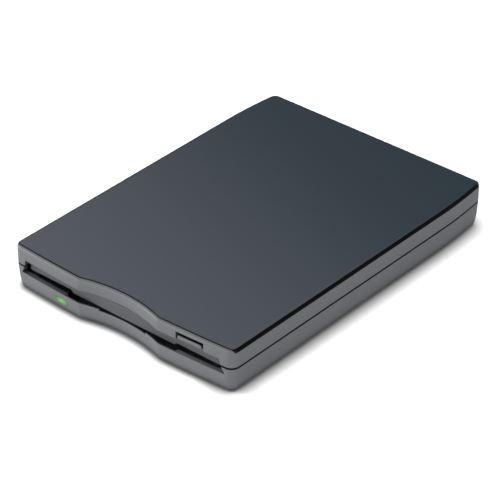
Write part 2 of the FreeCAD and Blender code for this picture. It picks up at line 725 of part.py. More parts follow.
def button_notch():
    """The notch over the slot that the eject button fills."""
    x0, x1 = BUTTON_LEFT - BUTTON_SIDE_GAP, BUTTON_RIGHT + BUTTON_RIGHT_GAP
    y1 = bow_y(BUTTON_RIGHT) + WALL + BUTTON_SIDE_GAP
    return box(x0, x1, FRONT - WALL, y1, SLOT_TOP - CLOSE_FIT, BUTTON_TOP + BUTTON_TOP_GAP)


def make_lower_case():
    """Lower shell: drafted wall, floor, seam tongue, bosses, posts and the front lip."""
    shell = form([
        (BASE_DRAFT + BASE_BEVEL, BASE_DRAFT + BASE_BEVEL, BASE),
        (BASE_DRAFT, BASE_DRAFT, BASE + BASE_BEVEL),
        (BELLY_INSET, BELLY_INSET, BELLY_HEIGHT),
        (0, 0, LOWER_TOP - SEAM_EDGE),
        (SEAM_EDGE, SEAM_EDGE, LOWER_TOP),
    ])
    shell = shell.cut(slab(WALL, WALL, FLOOR_TOP, LOWER_TOP + WALL))
    tongue = slab(TONGUE_INSET, TONGUE_INSET, LOWER_TOP - TONGUE_HEIGHT, LOWER_TOP + TONGUE_HEIGHT)
    tongue = tongue.cut(slab(WALL, WALL, 0, HEIGHT))
    tongue = tongue.common(box(-FAR, FAR, CHASSIS_FRONT, FAR, 0, HEIGHT))
    additions = [tongue]
    for x, y in (FRONT_BOSSES, REAR_BOSSES):
        additions += both_sides(rod_z(BOSS_RADIUS, BASE + FLOOR / 2, LOWER_TOP, x, y))
    for y in (CHASSIS_SCREW_FRONT, CHASSIS_SCREW_REAR):
        additions += both_sides(rod_z(POST_RADIUS, BASE + FLOOR / 2, CHASSIS_Z, CHASSIS_SCREW_X, y))
    for x in (INTERFACE_POST_LEFT, INTERFACE_POST_X):
        additions.append(rod_z(INTERFACE_POST_RADIUS, BASE + FLOOR / 2, INTERFACE_Z, x, INTERFACE_MIDDLE))
    shell = joined(shell, *additions)

    notch = slab(NOTCH_LIP, WALL, SLOT_BOTTOM - NOTCH_DEPTH, HEIGHT)
    notch = notch.common(box(-NOTCH_HALF, NOTCH_HALF, FRONT, SCOOP_FLOOR + WALL, 0, HEIGHT))
    dip = box(-DIP_HALF, DIP_HALF, FRONT, SCOOP_FLOOR + WALL, SLOT_BOTTOM - DIP_DEPTH, HEIGHT)
    cuts = [slot_cut(), notch, dip, gland_hole(), lens_hole()]
    for x, y in FEET:
        recess = rod_z(FOOT_RADIUS + CLOSE_FIT, 0, FOOT_THICKNESS, x, y)
        cuts += both_sides(recess)
    for x, y in (FRONT_BOSSES, REAR_BOSSES):
        sink = rod_z(CASE_SCREW_HEAD + LOOSE_FIT, 0, CASE_SCREW_SEAT, x, y)
        through = rod_z(CASE_SCREW_RADIUS + LOOSE_FIT, 0, HEIGHT, x, y)
        cuts += both_sides(joined(sink, through))
    for y in (CHASSIS_SCREW_FRONT, CHASSIS_SCREW_REAR):
        pilot = rod_z(SMALL_SCREW_RADIUS + CLOSE_FIT, CHASSIS_TOP - SMALL_SCREW_LENGTH - CLOSE_FIT,
                      HEIGHT, CHASSIS_SCREW_X, y)
        cuts += both_sides(pilot)
    for x in (INTERFACE_POST_LEFT, INTERFACE_POST_X):
        cuts.append(rod_z(SMALL_SCREW_RADIUS + CLOSE_FIT, INTERFACE_TOP - SMALL_SCREW_LENGTH - CLOSE_FIT,
                          HEIGHT, x, INTERFACE_MIDDLE))
    return shell.cut(cuts)


def make_top_panel():
    """Painted plate that covers the upper case, its side and rear edges rolled down."""
    front = PANEL_FRONT_INSET + PANEL_GAP
    sides = [(0, 0, PANEL_Z)] + [(0, inset, z) for inset, z in rolled(PANEL_ROLL, HEIGHT)]
    ends = [(front, -FRONT_CORNER, PANEL_Z)]
    ends += [(front + inset, -FRONT_CORNER, z) for inset, z in rolled(PANEL_FRONT_ROLL, HEIGHT)]
    return form(sides).common(form(ends))


def lens_front():
    """Where the lower front wall's outside lies at the light."""
    height = (LOWER_TOP - LENS_Z) / (LOWER_TOP - BELLY_HEIGHT)
    return bow_y(LENS_X) + BELLY_INSET * height


def lens_bar(width, height, y0, y1):
    """A bar with round ends along the light's axis."""
    radius = height / 2
    reach = width / 2 - radius
    middle = box(LENS_X - reach, LENS_X + reach, y0, y1, LENS_Z - radius, LENS_Z + radius)
    ends = [rod_y(radius, y0, y1, LENS_X + side * reach, LENS_Z) for side in (-1, 1)]
    return joined(middle, *ends)


def lens_hole():
    """The hole in the lower front wall for the light."""
    return lens_bar(LENS_WIDTH + 2 * CLOSE_FIT, LENS_HEIGHT + 2 * CLOSE_FIT, FRONT - WALL,
                    bow_y(LENS_X) + WALL + SCOOP_DEPTH)


def make_led_lens():
    """Clear light pipe: lens in the wall, flange behind it, bar back to the light source."""
    wall_inside = bow_y(abs(LENS_X) + LENS_WIDTH / 2 + LENS_FLANGE_MARGIN) + WALL + CLOSE_FIT
    lens = lens_bar(LENS_WIDTH, LENS_HEIGHT, lens_front(), wall_inside)
    margin = 2 * LENS_FLANGE_MARGIN
    flange = lens_bar(LENS_WIDTH + margin, LENS_HEIGHT + margin, wall_inside, wall_inside + LENS_FLANGE)
    pipe = box(LENS_X - PIPE_WIDTH / 2, LENS_X + PIPE_WIDTH / 2, wall_inside, led_front() - LED_GAP,
               LENS_Z - PIPE_HEIGHT / 2, LENS_Z + PIPE_HEIGHT / 2)
    return joined(lens, flange, pipe)


def make_cable_gland():
    """Rubber bush in the rear wall, trapped between the shells, with the cable's bore."""
    body = rod_y(GLAND_RADIUS, INSIDE_REAR - GLAND_FLANGE, REAR - GLAND_RECESS, GLAND_X, SEAM_HEIGHT)
    flange = rod_y(GLAND_FLANGE_RADIUS, INSIDE_REAR - GLAND_FLANGE, INSIDE_REAR, GLAND_X, SEAM_HEIGHT)
    bore = rod_y(GLAND_BORE, INSIDE_REAR - 2 * GLAND_FLANGE, REAR, GLAND_X, SEAM_HEIGHT)
    return joined(body, flange).cut(bore)


def make_rubber_feet():
    """Four round pads set into the floor."""
    pads = []
    for x, y in FEET:
        pads += both_sides(rod_z(FOOT_RADIUS, 0, FOOT_THICKNESS, x, y))
    return group(pads)


def make_case_screws():
    """Four screws that hold the shells together, driven from below."""
    screws = []
    for x, y in (FRONT_BOSSES, REAR_BOSSES):
        head = rod_z(CASE_SCREW_HEAD, BASE + CASE_SCREW_SINK, CASE_SCREW_SEAT, x, y)
        slot = box(x - CASE_SCREW_HEAD / 2, x + CASE_SCREW_HEAD / 2, y - SMALLEST_ROUND, y + SMALLEST_ROUND,
                   0, BASE + CASE_SCREW_SINK + CASE_SCREW_HEAD_HEIGHT / 2)
        shank = rod_z(CASE_SCREW_RADIUS, CASE_SCREW_SEAT, CASE_SCREW_TIP, x, y)
        screws += both_sides(joined(head, shank).cut(slot))
    return group(screws)


# ---- eject button and slider ----

def make_eject_button():
    """Button with a bowed, rounded face and a socket for the slider's tongue."""
    block = box(BUTTON_LEFT, BUTTON_RIGHT, BOW_APEX - WALL, button_back(), BUTTON_BOTTOM, BUTTON_TOP)
    block = block.common(slab(BUTTON_RECESS, BUTTON_RECESS, BUTTON_BOTTOM, BUTTON_TOP))
    front_edges = [edge for edge in block.Edges if edge.BoundBox.YMax < button_back() - BUTTON_DEPTH / 2]
    block = block.makeFillet(BUTTON_ROUND, front_edges)
    inset = BUTTON_RECESS + BUTTON_LIP
    behind_lip = slab(inset, inset, BUTTON_TOP - BUTTON_LIP_RISE, HEIGHT)
    return block.cut([behind_lip, slider_tongue(CLOSE_FIT)])


def button_back():
    """Rear face of the eject button."""
    return bow_y((BUTTON_LEFT + BUTTON_RIGHT) / 2) + BUTTON_RECESS + BUTTON_DEPTH


def slider_tongue(fit):
    """The slider's front tongue, grown by a fit on every side; it drops to the button behind the wall."""
    x0 = BUTTON_LEFT + TONGUE_SIDE_INSET - fit
    x1 = BUTTON_RIGHT - TONGUE_SIDE_INSET + fit
    riser_y = SLIDER_FRONT - TONGUE_RISER
    y0 = button_back() - TONGUE_SOCKET_DEPTH - fit
    z0 = SLIDER_Z - TONGUE_DROP - fit
    tip = box(x0, x1, y0, riser_y + SLIDER_SHEET, z0, z0 + SLIDER_SHEET + 2 * fit)
    riser = box(x0, x1, riser_y, riser_y + SLIDER_SHEET, z0, SLIDER_TOP + fit)
    root = box(x0, x1, riser_y, SLIDER_FRONT + SLIDER_SHEET, SLIDER_Z - fit, SLIDER_TOP + fit)
    return joined(tip, riser, root)


def make_eject_slider():
    """Sheet steel slider: front bar, side rails, cam walls and spring tabs."""
    bar = box(-HOLDER_INNER, HOLDER_INNER, SLIDER_FRONT, SLIDER_FRONT + SLIDER_BAR_DEPTH,
              SLIDER_Z, SLIDER_TOP)
    rail = box(SLIDER_OUTER - SLIDER_RAIL_WIDTH, SLIDER_OUTER, SLIDER_WALL_FRONT, SLIDER_REAR,
               SLIDER_Z, SLIDER_TOP)
    wall = box(SLIDER_WALL_X, SLIDER_OUTER, SLIDER_WALL_FRONT, SLIDER_WALL_REAR,
               SLIDER_WALL_BOTTOM, SLIDER_TOP)
    tab = box(SPRING_X - SPRING_TAB_WIDTH / 2, SPRING_X + SPRING_TAB_WIDTH / 2,
              SLIDER_REAR - SLIDER_SHEET, SLIDER_REAR, SPRING_Z - SPRING_TAB_MARGIN, SLIDER_TOP)
    hook = rod_y(SPRING_HOOK_HOLE, SLIDER_REAR - 2 * SLIDER_SHEET, SLIDER_REAR + SLIDER_SHEET,
                 SPRING_X, SPRING_Z)
    side = joined(rail, wall, tab).cut(hook)
    for y in PIN_YS:
        start = (y, PIN_Z)
        end = (y + EJECT_TRAVEL, PIN_Z - DISK_DROP)
        side = side.cut(stadium_x(SLIDER_WALL_X - SIDE_GAP, SLIDER_OUTER + SIDE_GAP, start, end,
                                  PIN_RADIUS + LOOSE_FIT))
    return joined(bar, slider_tongue(0.0), *both_sides(side))


def spring_coil(radius, wire, start, end, turns):
    """A coil spring along Y from start to end, as a swept helix."""
    length = end.y - start.y
    helix = Part.makeHelix(length / turns, length, radius)
    helix.rotate(Vector(0, 0, 0), Vector(1, 0, 0), -90)
    helix.translate(start)
    first = helix.Edges[0]
    at = first.valueAt(first.FirstParameter)
    tangent = first.tangentAt(first.FirstParameter)
    section = Part.Wire(Part.makeCircle(wire / 2, at, tangent))
    return Part.Wire(helix.Edges).makePipeShell([section], True, True)


def make_eject_springs():
    """Two tension springs that pull the slider forward."""
    front = SPRING_TAB_Y + CHASSIS_SHEET + SPRING_END_GAP
    rear = SLIDER_REAR - SLIDER_SHEET - SPRING_END_GAP
    radius = SPRING_COIL_RADIUS - SPRING_WIRE / 2
    springs = []
    for x in (-SPRING_X, SPRING_X):
        coil = spring_coil(radius, SPRING_WIRE, Vector(x, front, SPRING_Z), Vector(x, rear, SPRING_Z),
                           SPRING_COILS)
        hooks = []
        ends = ((front - SPRING_END_GAP - CHASSIS_SHEET, front),
                (rear, rear + SPRING_END_GAP + SLIDER_SHEET))
        for y0, y1 in ends:
            hooks.append(rod_y(SPRING_WIRE / 2, y0, y1, x, SPRING_Z))
        spokes = [rod_x(SPRING_WIRE / 2, x, x + radius, y, SPRING_Z) for y in (front, rear)]
        springs.append(joined(coil, *(hooks + spokes)))
    return group(springs)


# ---- dust flap ----

def make_dust_flap():
    """Flap with a longer middle part, a round top edge and a pin at each end."""
    y0 = FLAP_FRONT
    step = FLAP_BOTTOM - FLAP_TONGUE_BOTTOM
    points = [
        (-FLAP_HALF, FLAP_AXIS_Z),
        (FLAP_HALF, FLAP_AXIS_Z),
        (FLAP_HALF, FLAP_BOTTOM),
        (FLAP_TONGUE_HALF, FLAP_BOTTOM),
        (FLAP_TONGUE_HALF - step, FLAP_TONGUE_BOTTOM),
        (-FLAP_TONGUE_HALF + step, FLAP_TONGUE_BOTTOM),
        (-FLAP_TONGUE_HALF, FLAP_BOTTOM),
        (-FLAP_HALF, FLAP_BOTTOM),
    ]
    leaf = plate([Vector(x, y0, z) for x, z in points], Vector(0, 1, 0), FLAP_THICKNESS)
    reach = FLAP_HALF + FLAP_PIN_LENGTH
    pins = rod_x(FLAP_THICKNESS / 2, -reach, reach, FLAP_AXIS_Y, FLAP_AXIS_Z)
    return joined(leaf, pins)


def make_flap_spring():
    """Torsion spring round the flap's left pin, with a leg down the flap's end and one up to the deck."""
    inner = FLAP_THICKNESS / 2 + CLOSE_FIT
    outer = inner + FLAP_SPRING_WALL
    x0 = -FLAP_EAR_X + LOOSE_FIT
    x1 = -FLAP_HALF - LOOSE_FIT
    legs = SPRING_WIRE / 2
    coil = rod_x(outer, x0, x1, FLAP_AXIS_Y, FLAP_AXIS_Z)
    leg_y = FLAP_AXIS_Y + outer - legs
    down = rod_z(legs, FLAP_BOTTOM + SPRING_WIRE, FLAP_AXIS_Z, x1 - legs, leg_y)
    up = rod_z(legs, FLAP_AXIS_Z, DECK_Z - SPRING_WIRE, x0 + legs, leg_y)
    spring = joined(coil, down, up)
    return spring.cut(rod_x(inner, x0, x1, FLAP_AXIS_Y, FLAP_AXIS_Z))


# ---- chassis and cover ----

def make_drive_chassis():
    """Pressed steel tray with upright sides, guide slots for the holder and spring tabs."""
    base = box(-CHASSIS_HALF, CHASSIS_HALF, CHASSIS_FRONT, CHASSIS_REAR, CHASSIS_Z, CHASSIS_TOP)
    side = box(CHASSIS_WALL_X, CHASSIS_HALF, CHASSIS_FRONT, CHASSIS_REAR, CHASSIS_Z, COVER_Z)
    for y in PIN_YS:
        side = side.cut(stadium_x(CHASSIS_WALL_X - SIDE_GAP, CHASSIS_HALF + SIDE_GAP, (y, PIN_Z),
                                  (y, PIN_Z - DISK_DROP), PIN_RADIUS + LOOSE_FIT))
    for y in COVER_SCREW_YS:
        side = side.cut(rod_x(SMALL_SCREW_RADIUS + CLOSE_FIT, CHASSIS_WALL_X - SIDE_GAP,
                              CHASSIS_HALF + SIDE_GAP, y, COVER_Z - COVER_SCREW_DROP))
    tab = box(SPRING_X - SPRING_TAB_WIDTH / 2, SPRING_X + SPRING_TAB_WIDTH / 2, SPRING_TAB_Y,
              SPRING_TAB_Y + CHASSIS_SHEET, CHASSIS_Z, SPRING_Z + SPRING_TAB_MARGIN)
    tab = tab.cut(rod_y(SPRING_HOOK_HOLE, SPRING_TAB_Y - CHASSIS_SHEET, SPRING_TAB_Y + 2 * CHASSIS_SHEET,
                        SPRING_X, SPRING_Z))
    tray = joined(base, *(both_sides(side) + both_sides(tab)))
    cuts = [rod_z(BEARING_RADIUS + CLOSE_FIT, 0, BOARD_TOP, 0, SPINDLE_Y)]
    for y in (CHASSIS_SCREW_FRONT, CHASSIS_SCREW_REAR):
        cuts += both_sides(rod_z(SMALL_SCREW_RADIUS + LOOSE_FIT, 0, BOARD_TOP, CHASSIS_SCREW_X, y))
    for y in bracket_screw_ys():
        cuts.append(rod_z(SMALL_SCREW_RADIUS + CLOSE_FIT, 0, BOARD_TOP, bracket_screw_x(), y))
    return tray.cut(cuts)


def make_post_screws():
    """Screws into the lower case's posts: four for the chassis and two for the interface board."""
    screws = []
    for y in (CHASSIS_SCREW_FRONT, CHASSIS_SCREW_REAR):
        screws += both_sides(small_screw(CHASSIS_SCREW_X, y, CHASSIS_TOP, SMALL_SCREW_LENGTH))
    for x in (INTERFACE_POST_LEFT, INTERFACE_POST_X):
        screws.append(small_screw(x, INTERFACE_MIDDLE, INTERFACE_TOP, SMALL_SCREW_LENGTH))
    return group(screws)


def small_screw(x, y, seat, length):
    """A pan head screw that points down from its seat, with a driver slot."""
    head = rod_z(SMALL_SCREW_HEAD, seat, seat + SMALL_SCREW_HEAD_HEIGHT, x, y)
    shank = rod_z(SMALL_SCREW_RADIUS, seat - length, seat, x, y)
    slot = box(x - SMALL_SCREW_HEAD / 2, x + SMALL_SCREW_HEAD / 2, y - SMALLEST_ROUND, y + SMALLEST_ROUND,
               seat + SMALL_SCREW_HEAD_HEIGHT / 2, seat + 2 * SMALL_SCREW_HEAD_HEIGHT)
    return joined(head, shank).cut(slot)


def make_drive_cover():
    """Thin steel lid with skirts down the outside of the chassis walls."""
    inner = CHASSIS_HALF + CLOSE_FIT
    outer = inner + COVER_SHEET
    lid = box(-outer, outer, CHASSIS_FRONT, CHASSIS_REAR, COVER_Z, COVER_Z + COVER_SHEET)
    skirt = box(inner, outer, CHASSIS_FRONT, CHASSIS_REAR, COVER_Z - COVER_SKIRT, COVER_Z + COVER_SHEET)
    for y in COVER_SCREW_YS:
        skirt = skirt.cut(rod_x(SMALL_SCREW_RADIUS + LOOSE_FIT, inner - SIDE_GAP, outer + SIDE_GAP, y,
                                COVER_Z - COVER_SCREW_DROP))
    return joined(lid, *both_sides(skirt))


def make_cover_screws():
    """Four small screws through the cover's skirts into the chassis."""
    screws = []
    seat = CHASSIS_HALF + CLOSE_FIT + COVER_SHEET
    z = COVER_Z - COVER_SCREW_DROP
    for y in COVER_SCREW_YS:
        head = rod_x(COVER_SCREW_HEAD, seat, seat + COVER_SCREW_HEAD_HEIGHT, y, z)
        shank = rod_x(SMALL_SCREW_RADIUS, CHASSIS_WALL_X, seat, y, z)
        screws += both_sides(joined(head, shank))
    return group(screws)


# ---- disk holder and lever ----

def lever_point(angle, radius):
    """A point on the shutter lever's circle, by angle in degrees."""
    turn = math.radians(angle)
    return (LEVER_X + radius * math.cos(turn), LEVER_Y + radius * math.sin(turn))


def lever_slot():
    """The arc slot in the holder that the lever's finger runs in."""
    reach = LEVER_FINGER_RADIUS + LEVER_SLOT_MARGIN
    z0 = PASSAGE_TOP - HOLDER_SHEET
    height = 3 * HOLDER_SHEET
    ring = Part.makeCylinder(LEVER_REACH + reach, height, Vector(LEVER_X, LEVER_Y, z0), Vector(0, 0, 1),
                             LEVER_SWEEP)
    ring = ring.cut(rod_z(LEVER_REACH - reach, z0 - height, z0 + 2 * height, LEVER_X, LEVER_Y))
    ring.rotate(Vector(LEVER_X, LEVER_Y, z0), Vector(0, 0, 1), LEVER_START)
    ends = [rod_z(reach, z0, z0 + height, *lever_point(LEVER_START + turn, LEVER_REACH))
            for turn in (0, LEVER_SWEEP)]
    return joined(ring, *ends)


def make_disk_holder():
    """Sheet steel cage that the disk slides into, open in front, with a window for the arm."""
    top = box(-HOLDER_OUTER, HOLDER_OUTER, HOLDER_FRONT, HOLDER_REAR, PASSAGE_TOP, HOLDER_TOP)
    side = box(HOLDER_INNER, HOLDER_OUTER, HOLDER_FRONT, HOLDER_REAR, HOLDER_BOTTOM, HOLDER_TOP)
    flange = box(HOLDER_OUTER - HOLDER_FLANGE, HOLDER_OUTER, HOLDER_FLANGE_FRONT, HOLDER_REAR,
                 HOLDER_BOTTOM, PASSAGE_BOTTOM)
    stop_x = HOLDER_OUTER - HOLDER_STOP_INSET
    stop = box(stop_x - HOLDER_STOP_WIDTH, stop_x, HOLDER_REAR - HOLDER_SHEET, HOLDER_REAR,
               PASSAGE_HEIGHT, HOLDER_TOP)
    cage = joined(top, *(both_sides(side) + both_sides(flange) + both_sides(stop)))
    window = box(-HOLDER_WINDOW_HALF, HOLDER_WINDOW_HALF, HOLDER_WINDOW_FRONT, FAR, 0, HEIGHT)
    pivot_hole = rod_z(LEVER_PIVOT_RADIUS - RIVET_STEP, 0, HEIGHT, LEVER_X, LEVER_Y)
    cuts = [window, lever_slot(), pivot_hole]
    for y in PIN_YS:
        cuts += both_sides(rod_x(PIN_RADIUS - RIVET_STEP, HOLDER_INNER - SIDE_GAP, HOLDER_OUTER + SIDE_GAP,
                                 y, PIN_Z))
    return cage.cut(cuts)


def make_holder_pins():
    """Four steel pins riveted into the holder's sides."""
    pins = []
    for y in PIN_YS:
        shank = rod_x(PIN_RADIUS - RIVET_STEP, HOLDER_INNER, HOLDER_OUTER, y, PIN_Z)
        pin = rod_x(PIN_RADIUS, HOLDER_OUTER, CHASSIS_HALF, y, PIN_Z)
        pins += both_sides(joined(shank, pin))
    return group(pins)


def make_shutter_lever():
    """Lever that opens the disk's shutter: plate over the holder, finger down into the passage."""
    tip = LEVER_X + LEVER_REACH
    bar = box(LEVER_X, tip, LEVER_Y - LEVER_WIDTH / 2, LEVER_Y + LEVER_WIDTH / 2, LEVER_Z,
              LEVER_Z + LEVER_SHEET)
    hub = rod_z(LEVER_WIDTH / 2, LEVER_Z, LEVER_Z + LEVER_SHEET, LEVER_X, LEVER_Y)
    top = LEVER_Z + LEVER_SHEET
    nose = rod_z(LEVER_NOSE_RADIUS, LEVER_Z, top, tip, LEVER_Y)
    bar = bar.common(joined(hub, Part.makeCone(LEVER_WIDTH / 2, LEVER_NOSE_RADIUS, LEVER_REACH,
                                               Vector(LEVER_X, LEVER_Y, LEVER_Z), Vector(1, 0, 0))))
    finger = rod_z(LEVER_FINGER_RADIUS, PASSAGE_TOP - LEVER_FINGER_DEPTH, top, tip, LEVER_Y)
    lever = joined(bar, hub, nose, finger)
    lever = lever.cut(rod_z(LEVER_PIVOT_RADIUS + CLOSE_FIT, 0, HEIGHT, LEVER_X, LEVER_Y))
    lever.rotate(Vector(LEVER_X, LEVER_Y, 0), Vector(0, 0, 1), LEVER_START)
    return lever


def make_lever_pivot():
    """Headed rivet in the holder that the lever turns on."""
    neck = rod_z(LEVER_PIVOT_RADIUS - RIVET_STEP, PASSAGE_TOP, HOLDER_TOP, LEVER_X, LEVER_Y)
    shank = rod_z(LEVER_PIVOT_RADIUS, HOLDER_TOP, LEVER_HEAD_Z, LEVER_X, LEVER_Y)
    head = rod_z(LEVER_WIDTH / 2, LEVER_HEAD_Z, LEVER_HEAD_Z + LEVER_RIVET_HEAD, LEVER_X, LEVER_Y)
    return joined(neck, shank, head)


def make_lever_spring():
    """Flat torsion spring under the lever's hub."""
    z0 = HOLDER_TOP + LOOSE_FIT / 2
    z1 = LEVER_Z - LOOSE_FIT / 2
    outer = LEVER_SPRING_INNER + LEVER_SPRING_WIRE
    hollow = rod_z(LEVER_SPRING_INNER, 0, HEIGHT, LEVER_X, LEVER_Y)
    ring = rod_z(outer, z0, z1, LEVER_X, LEVER_Y).cut(hollow)
    leg = box(LEVER_X - LEVER_SPRING_WIRE / 2, LEVER_X + LEVER_SPRING_WIRE / 2,
              LEVER_Y - outer - LEVER_WIDTH, LEVER_Y - LEVER_SPRING_INNER, z0, z1)
    return joined(ring, leg)


# ---- spindle motor ----

def make_main_board():
    """Control board on the chassis, notched for the carriage, that also holds the motor's coils."""
    board = box(-BOARD_HALF, BOARD_HALF, CHASSIS_FRONT, BOARD_REAR, BOARD_Z, BOARD_TOP)
    cuts = [box(-BOARD_NOTCH_HALF, BOARD_NOTCH_HALF, BOARD_NOTCH_FRONT, FAR, 0, HEIGHT),
            rod_z(BEARING_RADIUS + CLOSE_FIT, 0, HEIGHT, 0, SPINDLE_Y)]
    cuts += both_sides(rod_z(SMALL_SCREW_HEAD + SIDE_GAP, 0, HEIGHT, CHASSIS_SCREW_X, CHASSIS_SCREW_FRONT))
    return board.cut(cuts)


def make_stator_coils():
    """Flat coils glued to the board in a ring under the rotor."""
    coils = []
    middle = (COIL_INNER + COIL_OUTER) / 2
    hole_inner = (COIL_INNER + middle) / 2
    hole_outer = (COIL_OUTER + middle) / 2
    hole_angle = COIL_ANGLE / 3
    for index in range(COIL_COUNT):
        turn = index * 360.0 / COIL_COUNT
        coil = ring_sector(COIL_INNER, COIL_OUTER, COIL_ANGLE, turn)
        coils.append(coil.cut(ring_sector(hole_inner, hole_outer, hole_angle, turn)))
    return group(coils)


def ring_sector(inner, outer, angle, turn):
    """A sector of a flat ring about the spindle, centred on an angle."""
    at = Vector(0, SPINDLE_Y, BOARD_TOP)
    sector = Part.makeCylinder(outer, COIL_HEIGHT, at, Vector(0, 0, 1), angle)
    sector = sector.cut(Part.makeCylinder(inner, COIL_HEIGHT, at, Vector(0, 0, 1), angle))
    sector.rotate(at, Vector(0, 0, 1), turn - angle / 2)
    return sector


def make_spindle_bearing():
    """Flanged sintered bush in the chassis."""
    bush = rod_z(BEARING_RADIUS, CHASSIS_Z, BEARING_TOP, 0, SPINDLE_Y)
    return bush.cut(rod_z(SHAFT_RADIUS + CLOSE_FIT, 0, HEIGHT, 0, SPINDLE_Y))


def make_spindle_rotor():
    """Pressed steel rotor disc."""
    disc = rod_z(ROTOR_RADIUS, ROTOR_Z, ROTOR_Z + ROTOR_SHEET, 0, SPINDLE_Y)
    return disc.cut(rod_z(SHAFT_RADIUS + CLOSE_FIT / 2, 0, HEIGHT, 0, SPINDLE_Y))


def make_rotor_magnet():
    """Ring magnet under the rotor disc."""
    ring = rod_z(ROTOR_RADIUS - MAGNET_HEIGHT, ROTOR_Z - MAGNET_HEIGHT, ROTOR_Z, 0, SPINDLE_Y)
    return ring.cut(rod_z(MAGNET_INNER, 0, HEIGHT, 0, SPINDLE_Y))


def make_spindle_hub():
    """Hub seat and shaft that carry the disk's metal hub."""
    seat_z = ROTOR_Z + ROTOR_SHEET
    seat = rod_z(HUB_RADIUS, seat_z, seat_z + HUB_HEIGHT, 0, SPINDLE_Y)
    shaft = rod_z(SHAFT_RADIUS, CHASSIS_Z, SHAFT_TOP - SHAFT_RADIUS / 2, 0, SPINDLE_Y)
    tip = Part.makeCone(SHAFT_RADIUS, SHAFT_RADIUS / 2, SHAFT_RADIUS / 2,
                        Vector(0, SPINDLE_Y, SHAFT_TOP - SHAFT_RADIUS / 2))
    pin_hole = rod_z(DRIVE_PIN_RADIUS + CLOSE_FIT, seat_z - HUB_HEIGHT, HEIGHT, DRIVE_PIN_OFFSET, SPINDLE_Y)
    return joined(seat, shaft, tip).cut(pin_hole)


def make_drive_pin():
    """Pin in the hub that drives the disk's slotted hub."""
    return rod_z(DRIVE_PIN_RADIUS, ROTOR_Z + ROTOR_SHEET, DRIVE_PIN_TOP, DRIVE_PIN_OFFSET, SPINDLE_Y)


# ---- head carriage ----

def make_head_carriage():
    """Carriage: deck on two rods, nose for the lower head, tower for the arm, sensor flag."""
    front = HEAD_Y - CARRIAGE_NOSE
    deck = box(-CARRIAGE_HALF, CARRIAGE_HALF, front, TOWER_REAR, CARRIAGE_BOTTOM, CARRIAGE_DECK)
    nose = box(-NOSE_HALF, NOSE_HALF, front, front + NOSE_LENGTH, CARRIAGE_BOTTOM, NOSE_TOP)
    cheek = box(TOWER_HALF - CHEEK, TOWER_HALF, TOWER_Y, TOWER_REAR, CARRIAGE_BOTTOM, TOWER_TOP)
    bushes = []
    for y in (HEAD_Y + BUSH_FRONT_FROM_HEAD, TOWER_REAR - BUSH_LENGTH):
        bushes.append(box(GUIDE_ROD_X - BUSH_HALF, -CARRIAGE_HALF, y, y + BUSH_LENGTH,
                          BUSH_BOTTOM, BUSH_TOP))
        bushes.append(box(-CARRIAGE_HALF, -CARRIAGE_HALF + BUSH_HALF, y, y + BUSH_LENGTH,
                          BUSH_BOTTOM, BUSH_TOP))
    shoe = box(CARRIAGE_HALF - BUSH_HALF, SUPPORT_ROD_X + BUSH_HALF, TOWER_REAR - BUSH_LENGTH, TOWER_REAR,
               BUSH_BOTTOM, BUSH_TOP)
    mast = box(TOWER_HALF - CHEEK, mast_end(), ARM_PIVOT_Y - FOLLOWER_BLOCK, ARM_PIVOT_Y + FOLLOWER_BLOCK / 2,
               SCREW_Z - FOLLOWER_BLOCK, SCREW_Z + FOLLOWER_BLOCK)
    flag_y = TOWER_Y + FLAG_BAR_HEIGHT
    bar = box(SENSOR_X - FLAG_THICKNESS / 2, -TOWER_HALF + CHEEK, flag_y, flag_y + FLAG_BAR_HEIGHT,
              FLAG_BAR_Z, FLAG_BAR_Z + FLAG_BAR_HEIGHT)
    flag = box(SENSOR_X - FLAG_THICKNESS / 2, SENSOR_X + FLAG_THICKNESS / 2, flag_y - SENSOR_LENGTH / 2,
               flag_y + SENSOR_LENGTH / 2, FLAG_BAR_Z - FLAG_DROP, FLAG_BAR_Z + FLAG_BAR_HEIGHT)
    parts = [nose, shoe, mast, bar, flag] + both_sides(cheek) + bushes
    carriage = joined(deck, *parts)
    cuts = [
        rod_y(GUIDE_ROD_RADIUS + CLOSE_FIT, 0, FAR, GUIDE_ROD_X, ROD_Z),
        rod_y(SUPPORT_ROD_RADIUS + LOOSE_FIT / 2, 0, FAR, SUPPORT_ROD_X, ROD_Z),
        rod_x(ARM_PIN_RADIUS + CLOSE_FIT / 2, -HALF, HALF, ARM_PIVOT_Y, ARM_PIVOT_Z).common(
            box(-TOWER_HALF, TOWER_HALF, 0, FAR, 0, HEIGHT)),
        rod_x(FOLLOWER_RADIUS, mast_end() - FOLLOWER_BLOCK * 2, SCREW_X, ARM_PIVOT_Y, SCREW_Z),
    ]
    return carriage.cut(cuts)


def mast_end():
    """How far the carriage's mast reaches toward the lead screw."""
    return SCREW_X - BRACKET_HALF - SIDE_GAP


def make_screw_follower():
    """Pin that reaches from the carriage into the lead screw's groove."""
    tip = SCREW_X - SCREW_RADIUS + FOLLOWER_DIP
    return rod_x(FOLLOWER_RADIUS, mast_end() - FOLLOWER_BLOCK * 2, tip, ARM_PIVOT_Y, SCREW_Z)


def make_lower_head():
    """Lower magnetic head on the carriage's nose."""
    return box(-HEAD_HALF, HEAD_HALF, HEAD_Y - HEAD_LENGTH / 2, HEAD_Y + HEAD_LENGTH / 2, NOSE_TOP, MEDIA_Z)


def lifted(shape):
    """Turn a piece of the arm from its lowered place to its lifted place."""
    shape.rotate(Vector(0, ARM_PIVOT_Y, ARM_PIVOT_Z), Vector(1, 0, 0), -ARM_ANGLE)
    return shape


